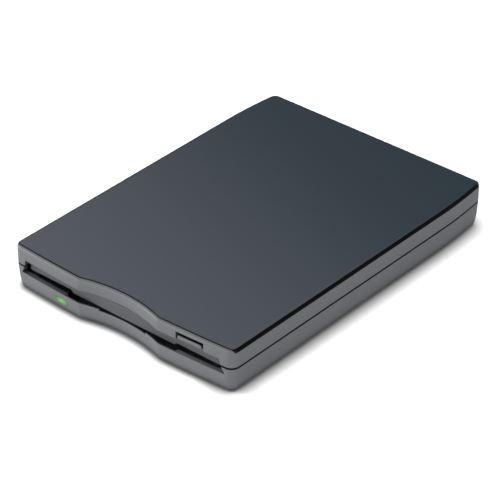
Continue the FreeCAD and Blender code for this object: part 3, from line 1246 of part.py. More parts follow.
def make_head_arm():
    """Upper head's arm, lifted, turning on the tower's pin."""
    z0 = ARM_PIVOT_Z - ARM_SHEET / 2
    blade = box(-ARM_HALF, ARM_HALF, HEAD_Y - ARM_HEAD_OVERHANG, ARM_PIVOT_Y, z0, z0 + ARM_SHEET)
    wing_end = ARM_PIVOT_Y - ARM_PIN_RADIUS - 3 * ARM_SPRING_WIRE
    wings = box(-ARM_WING_HALF, ARM_WING_HALF, wing_end - ARM_WING_LENGTH, wing_end, z0, z0 + ARM_SHEET)
    barrel_half = TOWER_HALF - CHEEK - 3 * ARM_SPRING_WIRE - 2 * LOOSE_FIT
    barrel = rod_x(ARM_BARREL, -barrel_half, barrel_half, ARM_PIVOT_Y, ARM_PIVOT_Z)
    arm = joined(blade, wings, barrel)
    arm = arm.cut(rod_x(ARM_PIN_RADIUS + CLOSE_FIT, -HALF, HALF, ARM_PIVOT_Y, ARM_PIVOT_Z))
    return lifted(arm)


def make_upper_head():
    """Upper magnetic head under the arm's end, lifted with it."""
    z1 = ARM_PIVOT_Z - ARM_SHEET / 2
    return lifted(box(-HEAD_HALF, HEAD_HALF, HEAD_Y - HEAD_LENGTH / 2, HEAD_Y + HEAD_LENGTH / 2,
                      MEDIA_Z + MEDIA_GAP, z1))


def make_arm_pin():
    """Pin through the tower's cheeks that the arm turns on."""
    return rod_x(ARM_PIN_RADIUS, -TOWER_HALF, TOWER_HALF, ARM_PIVOT_Y, ARM_PIVOT_Z)


def make_arm_springs():
    """Two torsion springs on the arm's pin that load the upper head, with legs along the arm."""
    x1 = TOWER_HALF - CHEEK - LOOSE_FIT
    x0 = x1 - 3 * ARM_SPRING_WIRE
    inner = ARM_PIN_RADIUS + CLOSE_FIT
    coil = rod_x(inner + ARM_SPRING_WIRE, x0, x1, ARM_PIVOT_Y, ARM_PIVOT_Z)
    leg_z = ARM_PIVOT_Z + ARM_SHEET / 2 + ARM_SPRING_WIRE / 2
    leg = rod_y(ARM_SPRING_WIRE / 2, ARM_PIVOT_Y - ARM_WING_LENGTH, ARM_PIVOT_Y, (x0 + x1) / 2, leg_z)
    spring = joined(coil, leg).cut(rod_x(inner, 0, HALF, ARM_PIVOT_Y, ARM_PIVOT_Z))
    return group(both_sides(lifted(spring)))


def make_carriage_rods():
    """Rod that the carriage's bushes slide on, and a thinner rod that stops it from turning."""
    guide = rod_y(GUIDE_ROD_RADIUS, ROD_FRONT, ROD_REAR, GUIDE_ROD_X, ROD_Z)
    support = rod_y(SUPPORT_ROD_RADIUS, ROD_FRONT, ROD_REAR, SUPPORT_ROD_X, ROD_Z)
    return group([guide, support])


def make_rod_clamps():
    """Four blocks on the chassis that hold the ends of the rods."""
    clamps = []
    for x, radius in ((GUIDE_ROD_X, GUIDE_ROD_RADIUS), (SUPPORT_ROD_X, SUPPORT_ROD_RADIUS)):
        for y in (ROD_FRONT, ROD_REAR - CLAMP_LENGTH):
            block = box(x - CLAMP_HALF, x + CLAMP_HALF, y, y + CLAMP_LENGTH, CHASSIS_TOP, BUSH_TOP)
            clamps.append(block.cut(rod_y(radius, ROD_FRONT, ROD_REAR, x, ROD_Z)))
    return group(clamps)


# ---- stepper ----

def bracket_screw_x():
    """Line of the bracket's foot screws."""
    return SCREW_X + BRACKET_HALF + BRACKET_FOOT / 2


def bracket_screw_ys():
    """The places of the bracket's foot screws along that line."""
    return (SCREW_FRONT + BRACKET_SCREW_INSET, STEPPER_Y - BRACKET_SCREW_INSET)


def make_lead_screw():
    """Stepper's shaft with a helical groove that drives the follower."""
    shaft = rod_y(SCREW_RADIUS, SCREW_FRONT + SCREW_EAR + LOOSE_FIT, STEPPER_Y - SCREW_EAR - LOOSE_FIT,
                  SCREW_X, SCREW_Z)
    journals = rod_y(SCREW_JOURNAL, SCREW_FRONT, STEPPER_Y + SCREW_EAR, SCREW_X, SCREW_Z)
    return joined(shaft, journals).cut(screw_groove())


def screw_groove():
    """The helical groove, a round section carried along a helix at the lead."""
    turns_behind = math.ceil((STEPPER_Y - ARM_PIVOT_Y) / SCREW_LEAD)
    turns_ahead = math.ceil((ARM_PIVOT_Y - SCREW_FRONT) / SCREW_LEAD)
    start_y = ARM_PIVOT_Y - turns_ahead * SCREW_LEAD
    height = (turns_ahead + turns_behind) * SCREW_LEAD
    helix = Part.makeHelix(SCREW_LEAD, height, SCREW_RADIUS)
    helix.rotate(Vector(0, 0, 0), Vector(0, 0, 1), 180)
    helix.rotate(Vector(0, 0, 0), Vector(1, 0, 0), -90)
    helix.translate(Vector(SCREW_X, start_y, SCREW_Z))
    first = helix.Edges[0]
    at = first.valueAt(first.FirstParameter)
    section = Part.Wire(Part.makeCircle(SCREW_GROOVE, at, first.tangentAt(first.FirstParameter)))
    groove = Part.Wire(helix.Edges).makePipeShell([section], True, True)
    margin = SCREW_EAR + 2 * LOOSE_FIT
    return groove.common(box(-FAR, FAR, SCREW_FRONT + margin, STEPPER_Y - margin, 0, HEIGHT))


def make_stepper_motor():
    """Small can motor behind the bracket."""
    can = rod_y(STEPPER_RADIUS, STEPPER_Y, STEPPER_Y + STEPPER_LENGTH, SCREW_X, SCREW_Z)
    return can.cut(rod_y(SCREW_JOURNAL + CLOSE_FIT, 0, STEPPER_Y + 2 * SCREW_EAR, SCREW_X, SCREW_Z))


def make_stepper_bracket():
    """Bent steel bracket with an ear at each end of the lead screw and a foot on the chassis."""
    top = SCREW_Z + BRACKET_HALF
    front_ear = box(SCREW_X - BRACKET_HALF, SCREW_X + BRACKET_HALF, SCREW_FRONT, SCREW_FRONT + SCREW_EAR,
                    CHASSIS_TOP, top)
    rear_ear = box(SCREW_X - BRACKET_HALF, SCREW_X + BRACKET_HALF, STEPPER_Y - SCREW_EAR, STEPPER_Y,
                   CHASSIS_TOP, top)
    foot = box(SCREW_X - BRACKET_HALF, SCREW_X + BRACKET_HALF + BRACKET_FOOT, SCREW_FRONT, STEPPER_Y,
               CHASSIS_TOP, CHASSIS_TOP + SCREW_EAR)
    bracket = joined(foot, front_ear, rear_ear)
    cuts = [rod_y(SCREW_JOURNAL + CLOSE_FIT, SCREW_FRONT - WALL, STEPPER_Y + WALL, SCREW_X, SCREW_Z)]
    for y in bracket_screw_ys():
        cuts.append(rod_z(SMALL_SCREW_RADIUS + LOOSE_FIT, 0, HEIGHT, bracket_screw_x(), y))
    return bracket.cut(cuts)


def make_bracket_screws():
    """Two screws that hold the stepper's bracket on the chassis."""
    seat = CHASSIS_TOP + SCREW_EAR
    length = SCREW_EAR + CHASSIS_SHEET
    return group(small_screw(bracket_screw_x(), y, seat, length) for y in bracket_screw_ys())


# ---- sensing ----

def switch_body(x):
    """A switch body on the board, with a guide hole for its plunger."""
    half = SWITCH_SIZE / 2
    top = BOARD_TOP + SWITCH_HEIGHT
    body = box(x - half, x + half, SWITCH_Y - half, SWITCH_Y + half, BOARD_TOP, top)
    floor = top - PLUNGER_HOLD - PLUNGER_TRAVEL - LOOSE_FIT
    return body.cut(rod_z(PLUNGER_RADIUS + CLOSE_FIT, floor, HEIGHT, x, SWITCH_Y))


def make_switch_bodies():
    """The three switch bodies."""
    return group(switch_body(x) for x in (PROTECT_SWITCH_X, DISK_SWITCH_X, DENSITY_SWITCH_X))


def make_plunger(x):
    """Round plunger that the disk, or the skin behind its hole, pushes down."""
    bottom = BOARD_TOP + SWITCH_HEIGHT - PLUNGER_HOLD
    return rod_z(PLUNGER_RADIUS, bottom, PLUNGER_TOP, x, SWITCH_Y)


def make_track_sensor():
    """Light gate that the carriage's flag enters at track zero."""
    flag_y = TOWER_Y + FLAG_BAR_HEIGHT
    reach = SENSOR_SLIT / 2 + SENSOR_TOWER
    body = box(SENSOR_X - reach, SENSOR_X + reach, flag_y - SENSOR_LENGTH / 2, flag_y + SENSOR_LENGTH / 2,
               CHASSIS_TOP, SENSOR_TOP)
    slit = box(SENSOR_X - SENSOR_SLIT / 2, SENSOR_X + SENSOR_SLIT / 2, 0, FAR,
               CHASSIS_TOP + SENSOR_BASE, HEIGHT)
    return body.cut(slit)


def make_index_sensor():
    """Hall chip beside the rotor's rim."""
    x0 = -ROTOR_RADIUS - HALL_GAP - HALL_SIZE
    return box(x0, x0 + HALL_SIZE, SPINDLE_Y - HALL_SIZE / 2, SPINDLE_Y + HALL_SIZE / 2, BOARD_TOP,
               BOARD_TOP + HALL_HEIGHT)


def led_front():
    """Front face of the light source on the board."""
    return CHASSIS_FRONT + LED_GAP


def make_led_chip():
    """Light source at the board's front edge."""
    return box(LENS_X - LED_WIDTH / 2, LENS_X + LED_WIDTH / 2, led_front(), led_front() + LED_DEPTH,
               BOARD_TOP, BOARD_TOP + LED_HEIGHT)


# ---- electronics ----

def chip(x, y, side, z):
    """A square chip package."""
    half = side / 2
    return box(x - half, x + half, y - half, y + half, z, z + CHIP_HEIGHT)


def make_board_chips():
    """Controller and driver chips on the main board."""
    chips = both_sides(chip(CHIP_X, SPINDLE_Y + CHIP_BEHIND_SPINDLE, CHIP_SIDE, BOARD_TOP))
    chips += both_sides(chip(CHIP_X, SPINDLE_Y - SMALL_CHIP_BEFORE_SPINDLE, SMALL_CHIP_SIDE, BOARD_TOP))
    return group(chips)


def flat_cable_z():
    """Height of the flat cable's underside."""
    return BOARD_TOP + CONNECTOR_HEIGHT - CONNECTOR_TOP_SKIN - FLAT_CABLE_THICKNESS - CLOSE_FIT


def connector(y0, y1, z0, z1, slot_y0, slot_y1):
    """A flat cable connector with a slot for the cable."""
    x0 = FLAT_CABLE_LEFT - CONNECTOR_MARGIN
    x1 = FLAT_CABLE_RIGHT + CONNECTOR_MARGIN
    slot_z = flat_cable_z()
    slot = box(FLAT_CABLE_LEFT - CLOSE_FIT, FLAT_CABLE_RIGHT + CLOSE_FIT, slot_y0, slot_y1,
               slot_z - CLOSE_FIT, slot_z + FLAT_CABLE_THICKNESS + CLOSE_FIT)
    return box(x0, x1, y0, y1, z0, z1).cut(slot)


def make_board_connector():
    """Flat cable connector at the main board's rear edge."""
    y0 = BOARD_REAR - CONNECTOR_DEPTH
    return connector(y0, BOARD_REAR, BOARD_TOP, BOARD_TOP + CONNECTOR_HEIGHT, y0 + CONNECTOR_DEPTH / 2,
                     BOARD_REAR + CONNECTOR_DEPTH)


def make_interface_connector():
    """Flat cable connector at the interface board's front edge."""
    y1 = INTERFACE_FRONT + CONNECTOR_DEPTH
    top = flat_cable_z() + FLAT_CABLE_THICKNESS + CLOSE_FIT + CONNECTOR_TOP_SKIN
    return connector(INTERFACE_FRONT, y1, INTERFACE_TOP, top + CONNECTOR_TOP_SKIN,
                     INTERFACE_FRONT - CONNECTOR_DEPTH, y1 - CONNECTOR_DEPTH / 2)


def make_flat_cable():
    """Flat cable from the main board to the interface board."""
    y0 = BOARD_REAR - CONNECTOR_DEPTH / 2 + CLOSE_FIT
    y1 = INTERFACE_FRONT + CONNECTOR_DEPTH / 2 - CLOSE_FIT
    z = flat_cable_z()
    return box(FLAT_CABLE_LEFT, FLAT_CABLE_RIGHT, y0, y1, z, z + FLAT_CABLE_THICKNESS)


def make_head_flex():
    """Flexible strip from the heads: down behind the tower, then back to its connector."""
    y = TOWER_REAR + FLEX_GAP
    bend_z = flex_z() + FLEX_THICKNESS + FLEX_BEND
    drop = box(-FLEX_HALF, FLEX_HALF, y, y + FLEX_THICKNESS, bend_z, SCREW_Z)
    outer = rod_x(FLEX_BEND + FLEX_THICKNESS, -FLEX_HALF, FLEX_HALF, y + FLEX_THICKNESS + FLEX_BEND, bend_z)
    bend = outer.cut(rod_x(FLEX_BEND, -FLEX_HALF, FLEX_HALF, y + FLEX_THICKNESS + FLEX_BEND, bend_z))
    corner = box(-FLEX_HALF, FLEX_HALF, y, y + FLEX_THICKNESS + FLEX_BEND, flex_z(), bend_z)
    bend = bend.common(corner)
    tail = box(-FLEX_HALF, FLEX_HALF, y + FLEX_THICKNESS + FLEX_BEND, flex_connector_y() + FLEX_GAP, flex_z(),
               flex_z() + FLEX_THICKNESS)
    return joined(drop, bend, tail)


def flex_z():
    """Height of the flexible strip's tail."""
    return CHASSIS_TOP + FLEX_CONNECTOR_HEIGHT / 2


def flex_connector_y():
    """Front face of the flexible strip's connector."""
    return CHASSIS_REAR - FLEX_CONNECTOR_DEPTH


def make_flex_connector():
    """Connector on the chassis for the heads' flexible strip."""
    body = box(-FLEX_HALF - CONNECTOR_MARGIN, FLEX_HALF + CONNECTOR_MARGIN, flex_connector_y(), CHASSIS_REAR,
               CHASSIS_TOP, CHASSIS_TOP + FLEX_CONNECTOR_HEIGHT)
    slot = box(-FLEX_HALF - CLOSE_FIT, FLEX_HALF + CLOSE_FIT, 0, flex_connector_y() + 2 * FLEX_GAP,
               flex_z() - CLOSE_FIT, flex_z() + FLEX_THICKNESS + CLOSE_FIT)
    return body.cut(slot)


def make_interface_board():
    """Bus interface board behind the drive, on two posts."""
    board = box(INTERFACE_LEFT, INTERFACE_RIGHT, INTERFACE_FRONT, INTERFACE_REAR,
                INTERFACE_Z, INTERFACE_TOP)
    return board.cut([rod_z(SMALL_SCREW_RADIUS + LOOSE_FIT, 0, HEIGHT, x, INTERFACE_MIDDLE)
                      for x in (INTERFACE_POST_LEFT, INTERFACE_POST_X)])


def make_interface_chips():
    """Bus controller chip."""
    return chip(USB_CHIP_X, INTERFACE_MIDDLE, USB_CHIP_SIDE, INTERFACE_TOP)


def make_interface_crystal():
    """Crystal can beside the controller."""
    reach = CRYSTAL_LENGTH / 2 - CRYSTAL_HALF
    z1 = INTERFACE_TOP + CRYSTAL_HEIGHT
    can = box(CRYSTAL_X - reach, CRYSTAL_X + reach, INTERFACE_MIDDLE - CRYSTAL_HALF,
              INTERFACE_MIDDLE + CRYSTAL_HALF, INTERFACE_TOP, z1)
    ends = [rod_z(CRYSTAL_HALF, INTERFACE_TOP, z1, CRYSTAL_X + side * reach, INTERFACE_MIDDLE)
            for side in (-1, 1)]
    return joined(can, *ends)


def make_interface_capacitors():
    """Two can capacitors on the interface board."""
    return group(rod_z(CAPACITOR_RADIUS, INTERFACE_TOP, INTERFACE_TOP + CAPACITOR_HEIGHT, x, INTERFACE_MIDDLE)
                 for x in CAPACITOR_XS)


def make_cable_header():
    """Open-topped header that the cable's inner plug goes into."""
    y0 = INTERFACE_MIDDLE - HEADER_DEPTH / 2
    y1 = INTERFACE_MIDDLE + HEADER_DEPTH / 2
    z1 = INTERFACE_TOP + HEADER_HEIGHT
    body = box(HEADER_LEFT, HEADER_LEFT + HEADER_WIDTH, y0, y1, INTERFACE_TOP, z1)
    pocket = box(HEADER_LEFT + HEADER_WALL, HEADER_LEFT + HEADER_WIDTH - HEADER_WALL, y0 + HEADER_WALL,
                 y1 - HEADER_WALL, INTERFACE_TOP + HEADER_WALL, HEIGHT)
    return body.cut(pocket)


def main():
    """Build every node and write its STEP file."""
    os.makedirs("parts", exist_ok=True)
    nodes = {
        "upper_case": make_upper_case(),
        "lower_case": make_lower_case(),
        "top_panel": make_top_panel(),
        "led_lens": make_led_lens(),
        "cable_gland": make_cable_gland(),
        "rubber_feet": make_rubber_feet(),
        "case_screws": make_case_screws(),
        "eject_button": make_eject_button(),
        "eject_slider": make_eject_slider(),
        "eject_springs": make_eject_springs(),
        "dust_flap": make_dust_flap(),
        "flap_spring": make_flap_spring(),
        "drive_chassis": make_drive_chassis(),
        "post_screws": make_post_screws(),
        "drive_cover": make_drive_cover(),
        "cover_screws": make_cover_screws(),
        "disk_holder": make_disk_holder(),
        "holder_pins": make_holder_pins(),
        "shutter_lever": make_shutter_lever(),
        "lever_pivot": make_lever_pivot(),
        "lever_spring": make_lever_spring(),
        "main_board": make_main_board(),
        "stator_coils": make_stator_coils(),
        "spindle_bearing": make_spindle_bearing(),
        "spindle_rotor": make_spindle_rotor(),
        "rotor_magnet": make_rotor_magnet(),
        "spindle_hub": make_spindle_hub(),
        "drive_pin": make_drive_pin(),
        "head_carriage": make_head_carriage(),
        "screw_follower": make_screw_follower(),
        "lower_head": make_lower_head(),
        "head_arm": make_head_arm(),
        "upper_head": make_upper_head(),
        "arm_pin": make_arm_pin(),
        "arm_springs": make_arm_springs(),
        "carriage_rods": make_carriage_rods(),
        "rod_clamps": make_rod_clamps(),
        "lead_screw": make_lead_screw(),
        "stepper_motor": make_stepper_motor(),
        "stepper_bracket": make_stepper_bracket(),
        "bracket_screws": make_bracket_screws(),
        "switch_bodies": make_switch_bodies(),
        "protect_plunger": make_plunger(PROTECT_SWITCH_X),
        "disk_plunger": make_plunger(DISK_SWITCH_X),
        "density_plunger": make_plunger(DENSITY_SWITCH_X),
        "track_sensor": make_track_sensor(),
        "index_sensor": make_index_sensor(),
        "led_chip": make_led_chip(),
        "board_chips": make_board_chips(),
        "board_connector": make_board_connector(),
        "flat_cable": make_flat_cable(),
        "head_flex": make_head_flex(),
        "flex_connector": make_flex_connector(),
        "interface_board": make_interface_board(),
        "interface_chips": make_interface_chips(),
        "interface_crystal": make_interface_crystal(),
        "interface_capacitors": make_interface_capacitors(),
        "interface_connector": make_interface_connector(),
        "cable_header": make_cable_header(),
    }
    for name, shape in nodes.items():
        write(name, shape)


main()
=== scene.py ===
"""Looks of an external 3.5 inch floppy disk drive, dressed over its CAD parts.

Metres, in the frame of the CAD parts: X to the right seen from the front, Y to the rear, Z up.
Each piece or group of like pieces has its own operator, and the sizes and colours that can be
changed are properties of the scene.
"""

import json
import math
from functools import partial

import bmesh
import bpy
import numpy as np
from bpy.props import FloatProperty, FloatVectorProperty, PointerProperty
from bpy.types import Operator, Panel, PropertyGroup
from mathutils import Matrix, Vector


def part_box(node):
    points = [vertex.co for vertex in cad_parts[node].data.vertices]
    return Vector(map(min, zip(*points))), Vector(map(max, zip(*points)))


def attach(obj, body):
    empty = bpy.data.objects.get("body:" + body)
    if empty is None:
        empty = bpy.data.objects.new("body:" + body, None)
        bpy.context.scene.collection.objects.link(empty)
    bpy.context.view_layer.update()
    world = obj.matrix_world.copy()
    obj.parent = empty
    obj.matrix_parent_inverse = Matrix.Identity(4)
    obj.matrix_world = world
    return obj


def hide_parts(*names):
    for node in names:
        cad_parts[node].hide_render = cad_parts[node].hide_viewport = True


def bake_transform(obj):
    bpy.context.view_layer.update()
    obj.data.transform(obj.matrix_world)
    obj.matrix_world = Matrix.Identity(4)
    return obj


bl_info = {
    "name": "Floppy Drive Looks",
    "version": (1, 0, 0),
    "blender": (4, 5, 0),
    "location": "3D View > Sidebar > Drive",
    "description": "Surfaces, finishes and studio for an external floppy disk drive",
    "category": "Object",
}

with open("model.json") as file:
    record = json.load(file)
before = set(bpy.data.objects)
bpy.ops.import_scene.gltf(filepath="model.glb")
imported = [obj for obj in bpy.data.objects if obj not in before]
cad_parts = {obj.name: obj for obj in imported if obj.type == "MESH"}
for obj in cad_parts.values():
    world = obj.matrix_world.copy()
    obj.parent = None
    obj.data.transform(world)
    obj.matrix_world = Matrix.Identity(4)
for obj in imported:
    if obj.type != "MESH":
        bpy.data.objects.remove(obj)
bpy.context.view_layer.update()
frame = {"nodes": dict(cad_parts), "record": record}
NODES = frame["nodes"]
MM = 0.001


# ---- small helpers ----

def linear(code):
    """An sRGB hex colour as linear RGBA."""
    parts = [int(code[i:i + 2], 16) / 255 for i in (1, 3, 5)]
    return [p / 12.92 if p <= 0.04045 else ((p + 0.055) / 1.055) ** 2.4 for p in parts] + [1.0]


def colour(name, part, default):
    """The colour property of a part, with an sRGB hex default."""
    return FloatVectorProperty(name=name, description=f"Colour of {part}", subtype="COLOR", size=4, min=0.0,
                               max=1.0, default=linear(default))


def length(name, description, default):
    """A length property with its default in millimetres."""
    return FloatProperty(name=name, description=description, subtype="DISTANCE", unit="LENGTH", min=0.0,
                         default=default * MM)


def plain(name, description, default, least=0.0, **unit):
    """A number property, without a unit or with the one given."""
    return FloatProperty(name=name, description=description, min=least, default=default, **unit)


def add_node(tree, kind, inputs=None, **settings):
    """Add one node. Settings are its properties; inputs maps a socket to a value, an output or a node.

    A node stands for the first of its outputs that is in use.
    """
    node = tree.nodes.new("ShaderNode" + kind)
    for name, value in settings.items():
        setattr(node, name, value)
    for name, value in (inputs or {}).items():
        if isinstance(value, bpy.types.Node):
            value = next(output for output in value.outputs if output.enabled)
        if isinstance(value, bpy.types.NodeSocket):
            tree.links.new(value, node.inputs[name])
        else:
            node.inputs[name].default_value = value
    return node


# Settings of a Mix node for colours: B laid over A by a factor, and A times B.
BLEND = {"data_type": "RGBA"}
TIMES = {"data_type": "RGBA", "blend_type": "MULTIPLY"}


def bands(pitch):
    """The scale at which a wave texture's bands lie pitch apart: at scale 1 they are pi / 10 apart."""
    return math.pi / (10 * pitch)


def new_material(name):
    """An empty node material, the function that adds nodes to it, and its Object coordinates."""
    material = bpy.data.materials.new(name)
    material.use_nodes = True
    material.node_tree.nodes.clear()
    add = partial(add_node, material.node_tree)
    return material, add, add("TexCoord").outputs["Object"]


def finished(material, shader):
    """The material with a shader joined to its output."""
    add_node(material.node_tree, "OutputMaterial", {"Surface": shader})
    return material


def linked(name, data):
    """A new object in the scene, at the origin."""
    thing = bpy.data.objects.new(name, data)
    bpy.context.scene.collection.objects.link(thing)
    return thing


def dress(material, *names):
    """Put a material on CAD nodes."""
    for name in names:
        data = NODES[name].data
        data.materials.clear()
        data.materials.append(material)


def settle(piece, material, node, body="case", reach=None):
    """Give a new piece its material, the node that it stands for and its body.

    With a reach, two points, the piece keeps its place and rides on no body; the points are not used.
    """
    piece.data.materials.clear()
    piece.data.materials.append(material)
    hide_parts(node)
    if reach:
        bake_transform(piece)
    else:
        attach(piece, body)
    dress(material, node)


# ---- sizes shared with the CAD parts, and fixed values ----

HALF = 51.5 * MM
FRONT = -71.5 * MM
REAR = 71.5 * MM
BOW_RISE = 1.93 * MM
SCOOP_HALF = 18.5 * MM
SCOOP_DEPTH = 3.0 * MM
LIP_RADIUS = 3.0 * MM
FRONT_CORNER = 3.5 * MM
REAR_CORNER = 3.0 * MM
TAPER_LENGTH = 26.5 * MM
TAPER_INSET = 1.8 * MM
PANEL_FRONT = 1.2 * MM
PANEL_FRONT_ROLL = 0.2 * MM
PANEL_SPINE = 45 * MM
SPINDLE_Y = -15.0 * MM
SEAM = 10.4 * MM          # middle of the joint between the shells
BUTTON_BACK = 0.15 * MM   # from the bow back to the button's front

SHARP = math.radians(35)  # edges of new surfaces over this angle stay sharp
FLOOR_HALF = 3.0
PAPER_WHITE = 0.8         # how much light the floor's paper gives back

BOW_RADIUS = (HALF ** 2 + BOW_RISE ** 2) / (2 * BOW_RISE)
BOW_CENTRE = (0.0, FRONT - BOW_RISE * (SCOOP_HALF / HALF) ** 2 + BOW_RADIUS)
SCOOP_RADIUS = (SCOOP_HALF ** 2 + SCOOP_DEPTH ** 2) / (2 * SCOOP_DEPTH)
SCOOP_CENTRE = (0.0, FRONT + SCOOP_DEPTH - SCOOP_RADIUS)
TAPER_RADIUS = TAPER_LENGTH ** 2 / (2 * TAPER_INSET)
TAPER_CENTRE = (HALF - TAPER_RADIUS, REAR - TAPER_LENGTH)


# ---- surfaces ----

def crossing(centre_a, radius_a, centre_b, radius_b):
    """The crossing of two circles that lies further to the right."""
    a, b = np.array(centre_a), np.array(centre_b)
    gap = np.linalg.norm(b - a)
    along = (radius_a ** 2 - radius_b ** 2 + gap ** 2) / (2 * gap)
    across = math.sqrt(radius_a ** 2 - along ** 2)
    way = (b - a) / gap
    side = np.array([-way[1], way[0]])
    return max((a + way * along + side * across, a + way * along - side * across), key=lambda p: p[0])


def arc(centre, start, end, count):
    """Points c + r (cos t, sin t), t going evenly from start to end by the short way, the end left out."""
    first, last = [math.atan2(p[1] - centre[1], p[0] - centre[0]) for p in (start, end)]
    sweep = (last - first + math.pi) % math.tau - math.pi
    turn = first + sweep * np.arange(count) / count
    radius = math.dist(centre, start)
    return np.stack([centre[0] + radius * np.cos(turn), centre[1] + radius * np.sin(turn)], 1)


def line(start, end, count):
    """Points start + t (end - start), t going evenly from 0, the end left out."""
    share = np.arange(count)[:, None] / count
    return np.array(start) * (1 - share) + np.array(end) * share


def rounded(corners, radii, steps=5):
    """A chain of corners, each rounded by an arc that is tangent to both of its runs.

    The arc's centre lies on the corner's bisector, r / sin(half the corner's angle) away from it.
    """
    corners = np.array(corners, float)
    points = []
    befores, afters = np.roll(corners, 1, 0), np.roll(corners, -1, 0)
    for before, corner, after, radius in zip(befores, corners, afters, radii):
        if not radius:
            points.append(corner[None])
            continue
        u, v = [(p - corner) / np.linalg.norm(p - corner) for p in (before, after)]
        half = math.acos(np.clip(u @ v, -1, 1)) / 2
        centre = corner + (u + v) / np.linalg.norm(u + v) * radius / math.sin(half)
        start, end = corner + u * radius / math.tan(half), corner + v * radius / math.tan(half)
        points += [arc(centre, start, end, steps), end[None]]
    return np.concatenate(points)


def plan_ring(front, side):
    """The drive's plan outline drawn in by front at the front and by side elsewhere, as N x 2 points.

    The right half is a chain of circular arcs and two lines (scoop, lip, bow, corner, side, taper, rear
    corner, rear), each sampled evenly; the left half is its mirror image.
    """
    scoop = SCOOP_RADIUS + front
    bow = BOW_RADIUS - front
    lip = LIP_RADIUS - front
    corner = FRONT_CORNER - side
    lip_centre = crossing(BOW_CENTRE, bow - lip, SCOOP_CENTRE, scoop + lip)
    toward = lambda c, p, r: np.array(c) + (np.array(p) - np.array(c)) * r / math.dist(c, p)
    lip_in = toward(SCOOP_CENTRE, lip_centre, scoop)
    lip_out = toward(BOW_CENTRE, lip_centre, bow)
    corner_y = BOW_CENTRE[1] - math.sqrt((BOW_RADIUS - FRONT_CORNER) ** 2 - (HALF - FRONT_CORNER) ** 2)
    corner_centre = (HALF - FRONT_CORNER, corner_y)
    corner_in = crossing(BOW_CENTRE, bow, corner_centre, corner)
    side_in = (HALF - side, corner_y)
    taper_in = (HALF - side, TAPER_CENTRE[1])
    rear_y = REAR - REAR_CORNER
    rear_x = TAPER_CENTRE[0] + math.sqrt((TAPER_RADIUS - REAR_CORNER) ** 2 - (rear_y - TAPER_CENTRE[1]) ** 2)
    rear_in = toward(TAPER_CENTRE, (rear_x, rear_y), TAPER_RADIUS - side)
    rear_out = (rear_x, REAR - side)
    right = np.concatenate([
        arc(SCOOP_CENTRE, (0.0, SCOOP_CENTRE[1] + scoop), lip_in, 16),
        arc(lip_centre, lip_in, lip_out, 6),
        arc(BOW_CENTRE, lip_out, corner_in, 20),
        arc(corner_centre, corner_in, side_in, 12),
        line(side_in, taper_in, 24),
        arc(TAPER_CENTRE, taper_in, rear_in, 10),
        arc((rear_x, rear_y), rear_in, rear_out, 8),
        line(rear_out, (0.0, REAR - side), 16),
    ])
    left = right[:0:-1] * (-1, 1)
    return np.concatenate([right, [(0.0, REAR - side)], left])


def bow_y(x):
    """Where the bowed front lies at x: the centre less the root of r squared less x squared."""
    return BOW_CENTRE[1] - np.sqrt(BOW_RADIUS ** 2 - x ** 2)


def placed(name, mesh, doubles, flat=0.0):
    """A new smooth object. Points nearer than doubles merge, and so do faces flat within an angle."""
    body = bmesh.new()
    body.from_mesh(mesh)
    bmesh.ops.remove_doubles(body, verts=body.verts, dist=doubles)
    if flat:
        bmesh.ops.dissolve_limit(body, angle_limit=flat, verts=body.verts, edges=body.edges)
    body.to_mesh(mesh)
    body.free()
    mesh.polygons.foreach_set("use_smooth", [True] * len(mesh.polygons))
    return linked(name, mesh)


def skin(name, *grids):
    """One closed mesh from grids of rows x columns x 3 points, each closed round its columns.

    Quads join each point to its neighbours, and a row drawn to one point is a pole. Doubles are
    merged, and a grid whose enclosed volume comes out negative has its faces turned.
    """
    points, faces, start = [], [], 0
    for grid in grids:
        rows, columns = grid.shape[:2]
        row, column = np.meshgrid(np.arange(rows - 1), np.arange(columns), indexing="ij")
        after = (column + 1) % columns
        quads = np.stack([row * columns + column, row * columns + after, (row + 1) * columns + after,
                          (row + 1) * columns + column], -1).reshape(-1, 4)
        flat = grid.reshape(-1, 3)
        a, b, c, d = (flat[quads[:, k]] for k in range(4))
        volume = (np.cross(a, b) * c).sum() + (np.cross(a, c) * d).sum()
        faces.append((quads if volume > 0 else quads[:, ::-1]) + start)
        points.append(flat)
        start += len(flat)
    mesh = bpy.data.meshes.new(name)
    mesh.from_pydata(np.concatenate(points).tolist(), [], np.concatenate(faces).tolist())
    piece = placed(name, mesh, 1e-3 * MM)
    mesh.set_sharp_from_angle(angle=SHARP)
    return piece


def turned(profile, centre, axis, count=64):
    """A profile of (radius, place along the axis) points turned about an axis, as a grid of 3D points.

    Each point is centre + r (cos t, sin t) in the plane across the axis, t going once round.
    """
    turn = np.arange(count) * math.tau / count
    radius, along = np.array(profile, float).T
    u = centre[0] + radius[:, None] * np.cos(turn)
    v = centre[1] + radius[:, None] * np.sin(turn)
    w = np.repeat(along[:, None], count, 1)
    return np.stack([u, v, w] if axis == "Z" else [u, w, v], -1)


def merged(name, node):
    """A copy of a CAD node with its doubles merged and its flat faces joined."""
    mesh = NODES[node].data.copy()
    mesh.name = name
    return placed(name, mesh, 2e-3 * MM, math.radians(0.3))


def softened(name, node, width):
    """A merged copy of a CAD node with its edges rounded to a radius."""
    piece = merged(name, node)
    edges = piece.modifiers.new("edges", "BEVEL")
    edges.limit_method = "ANGLE"
    edges.angle_limit = math.radians(28)
    edges.width = width
    edges.segments = 3
    edges.use_clamp_overlap = False
    edges.harden_normals = True
    edges.miter_outer = "MITER_ARC"
    return piece


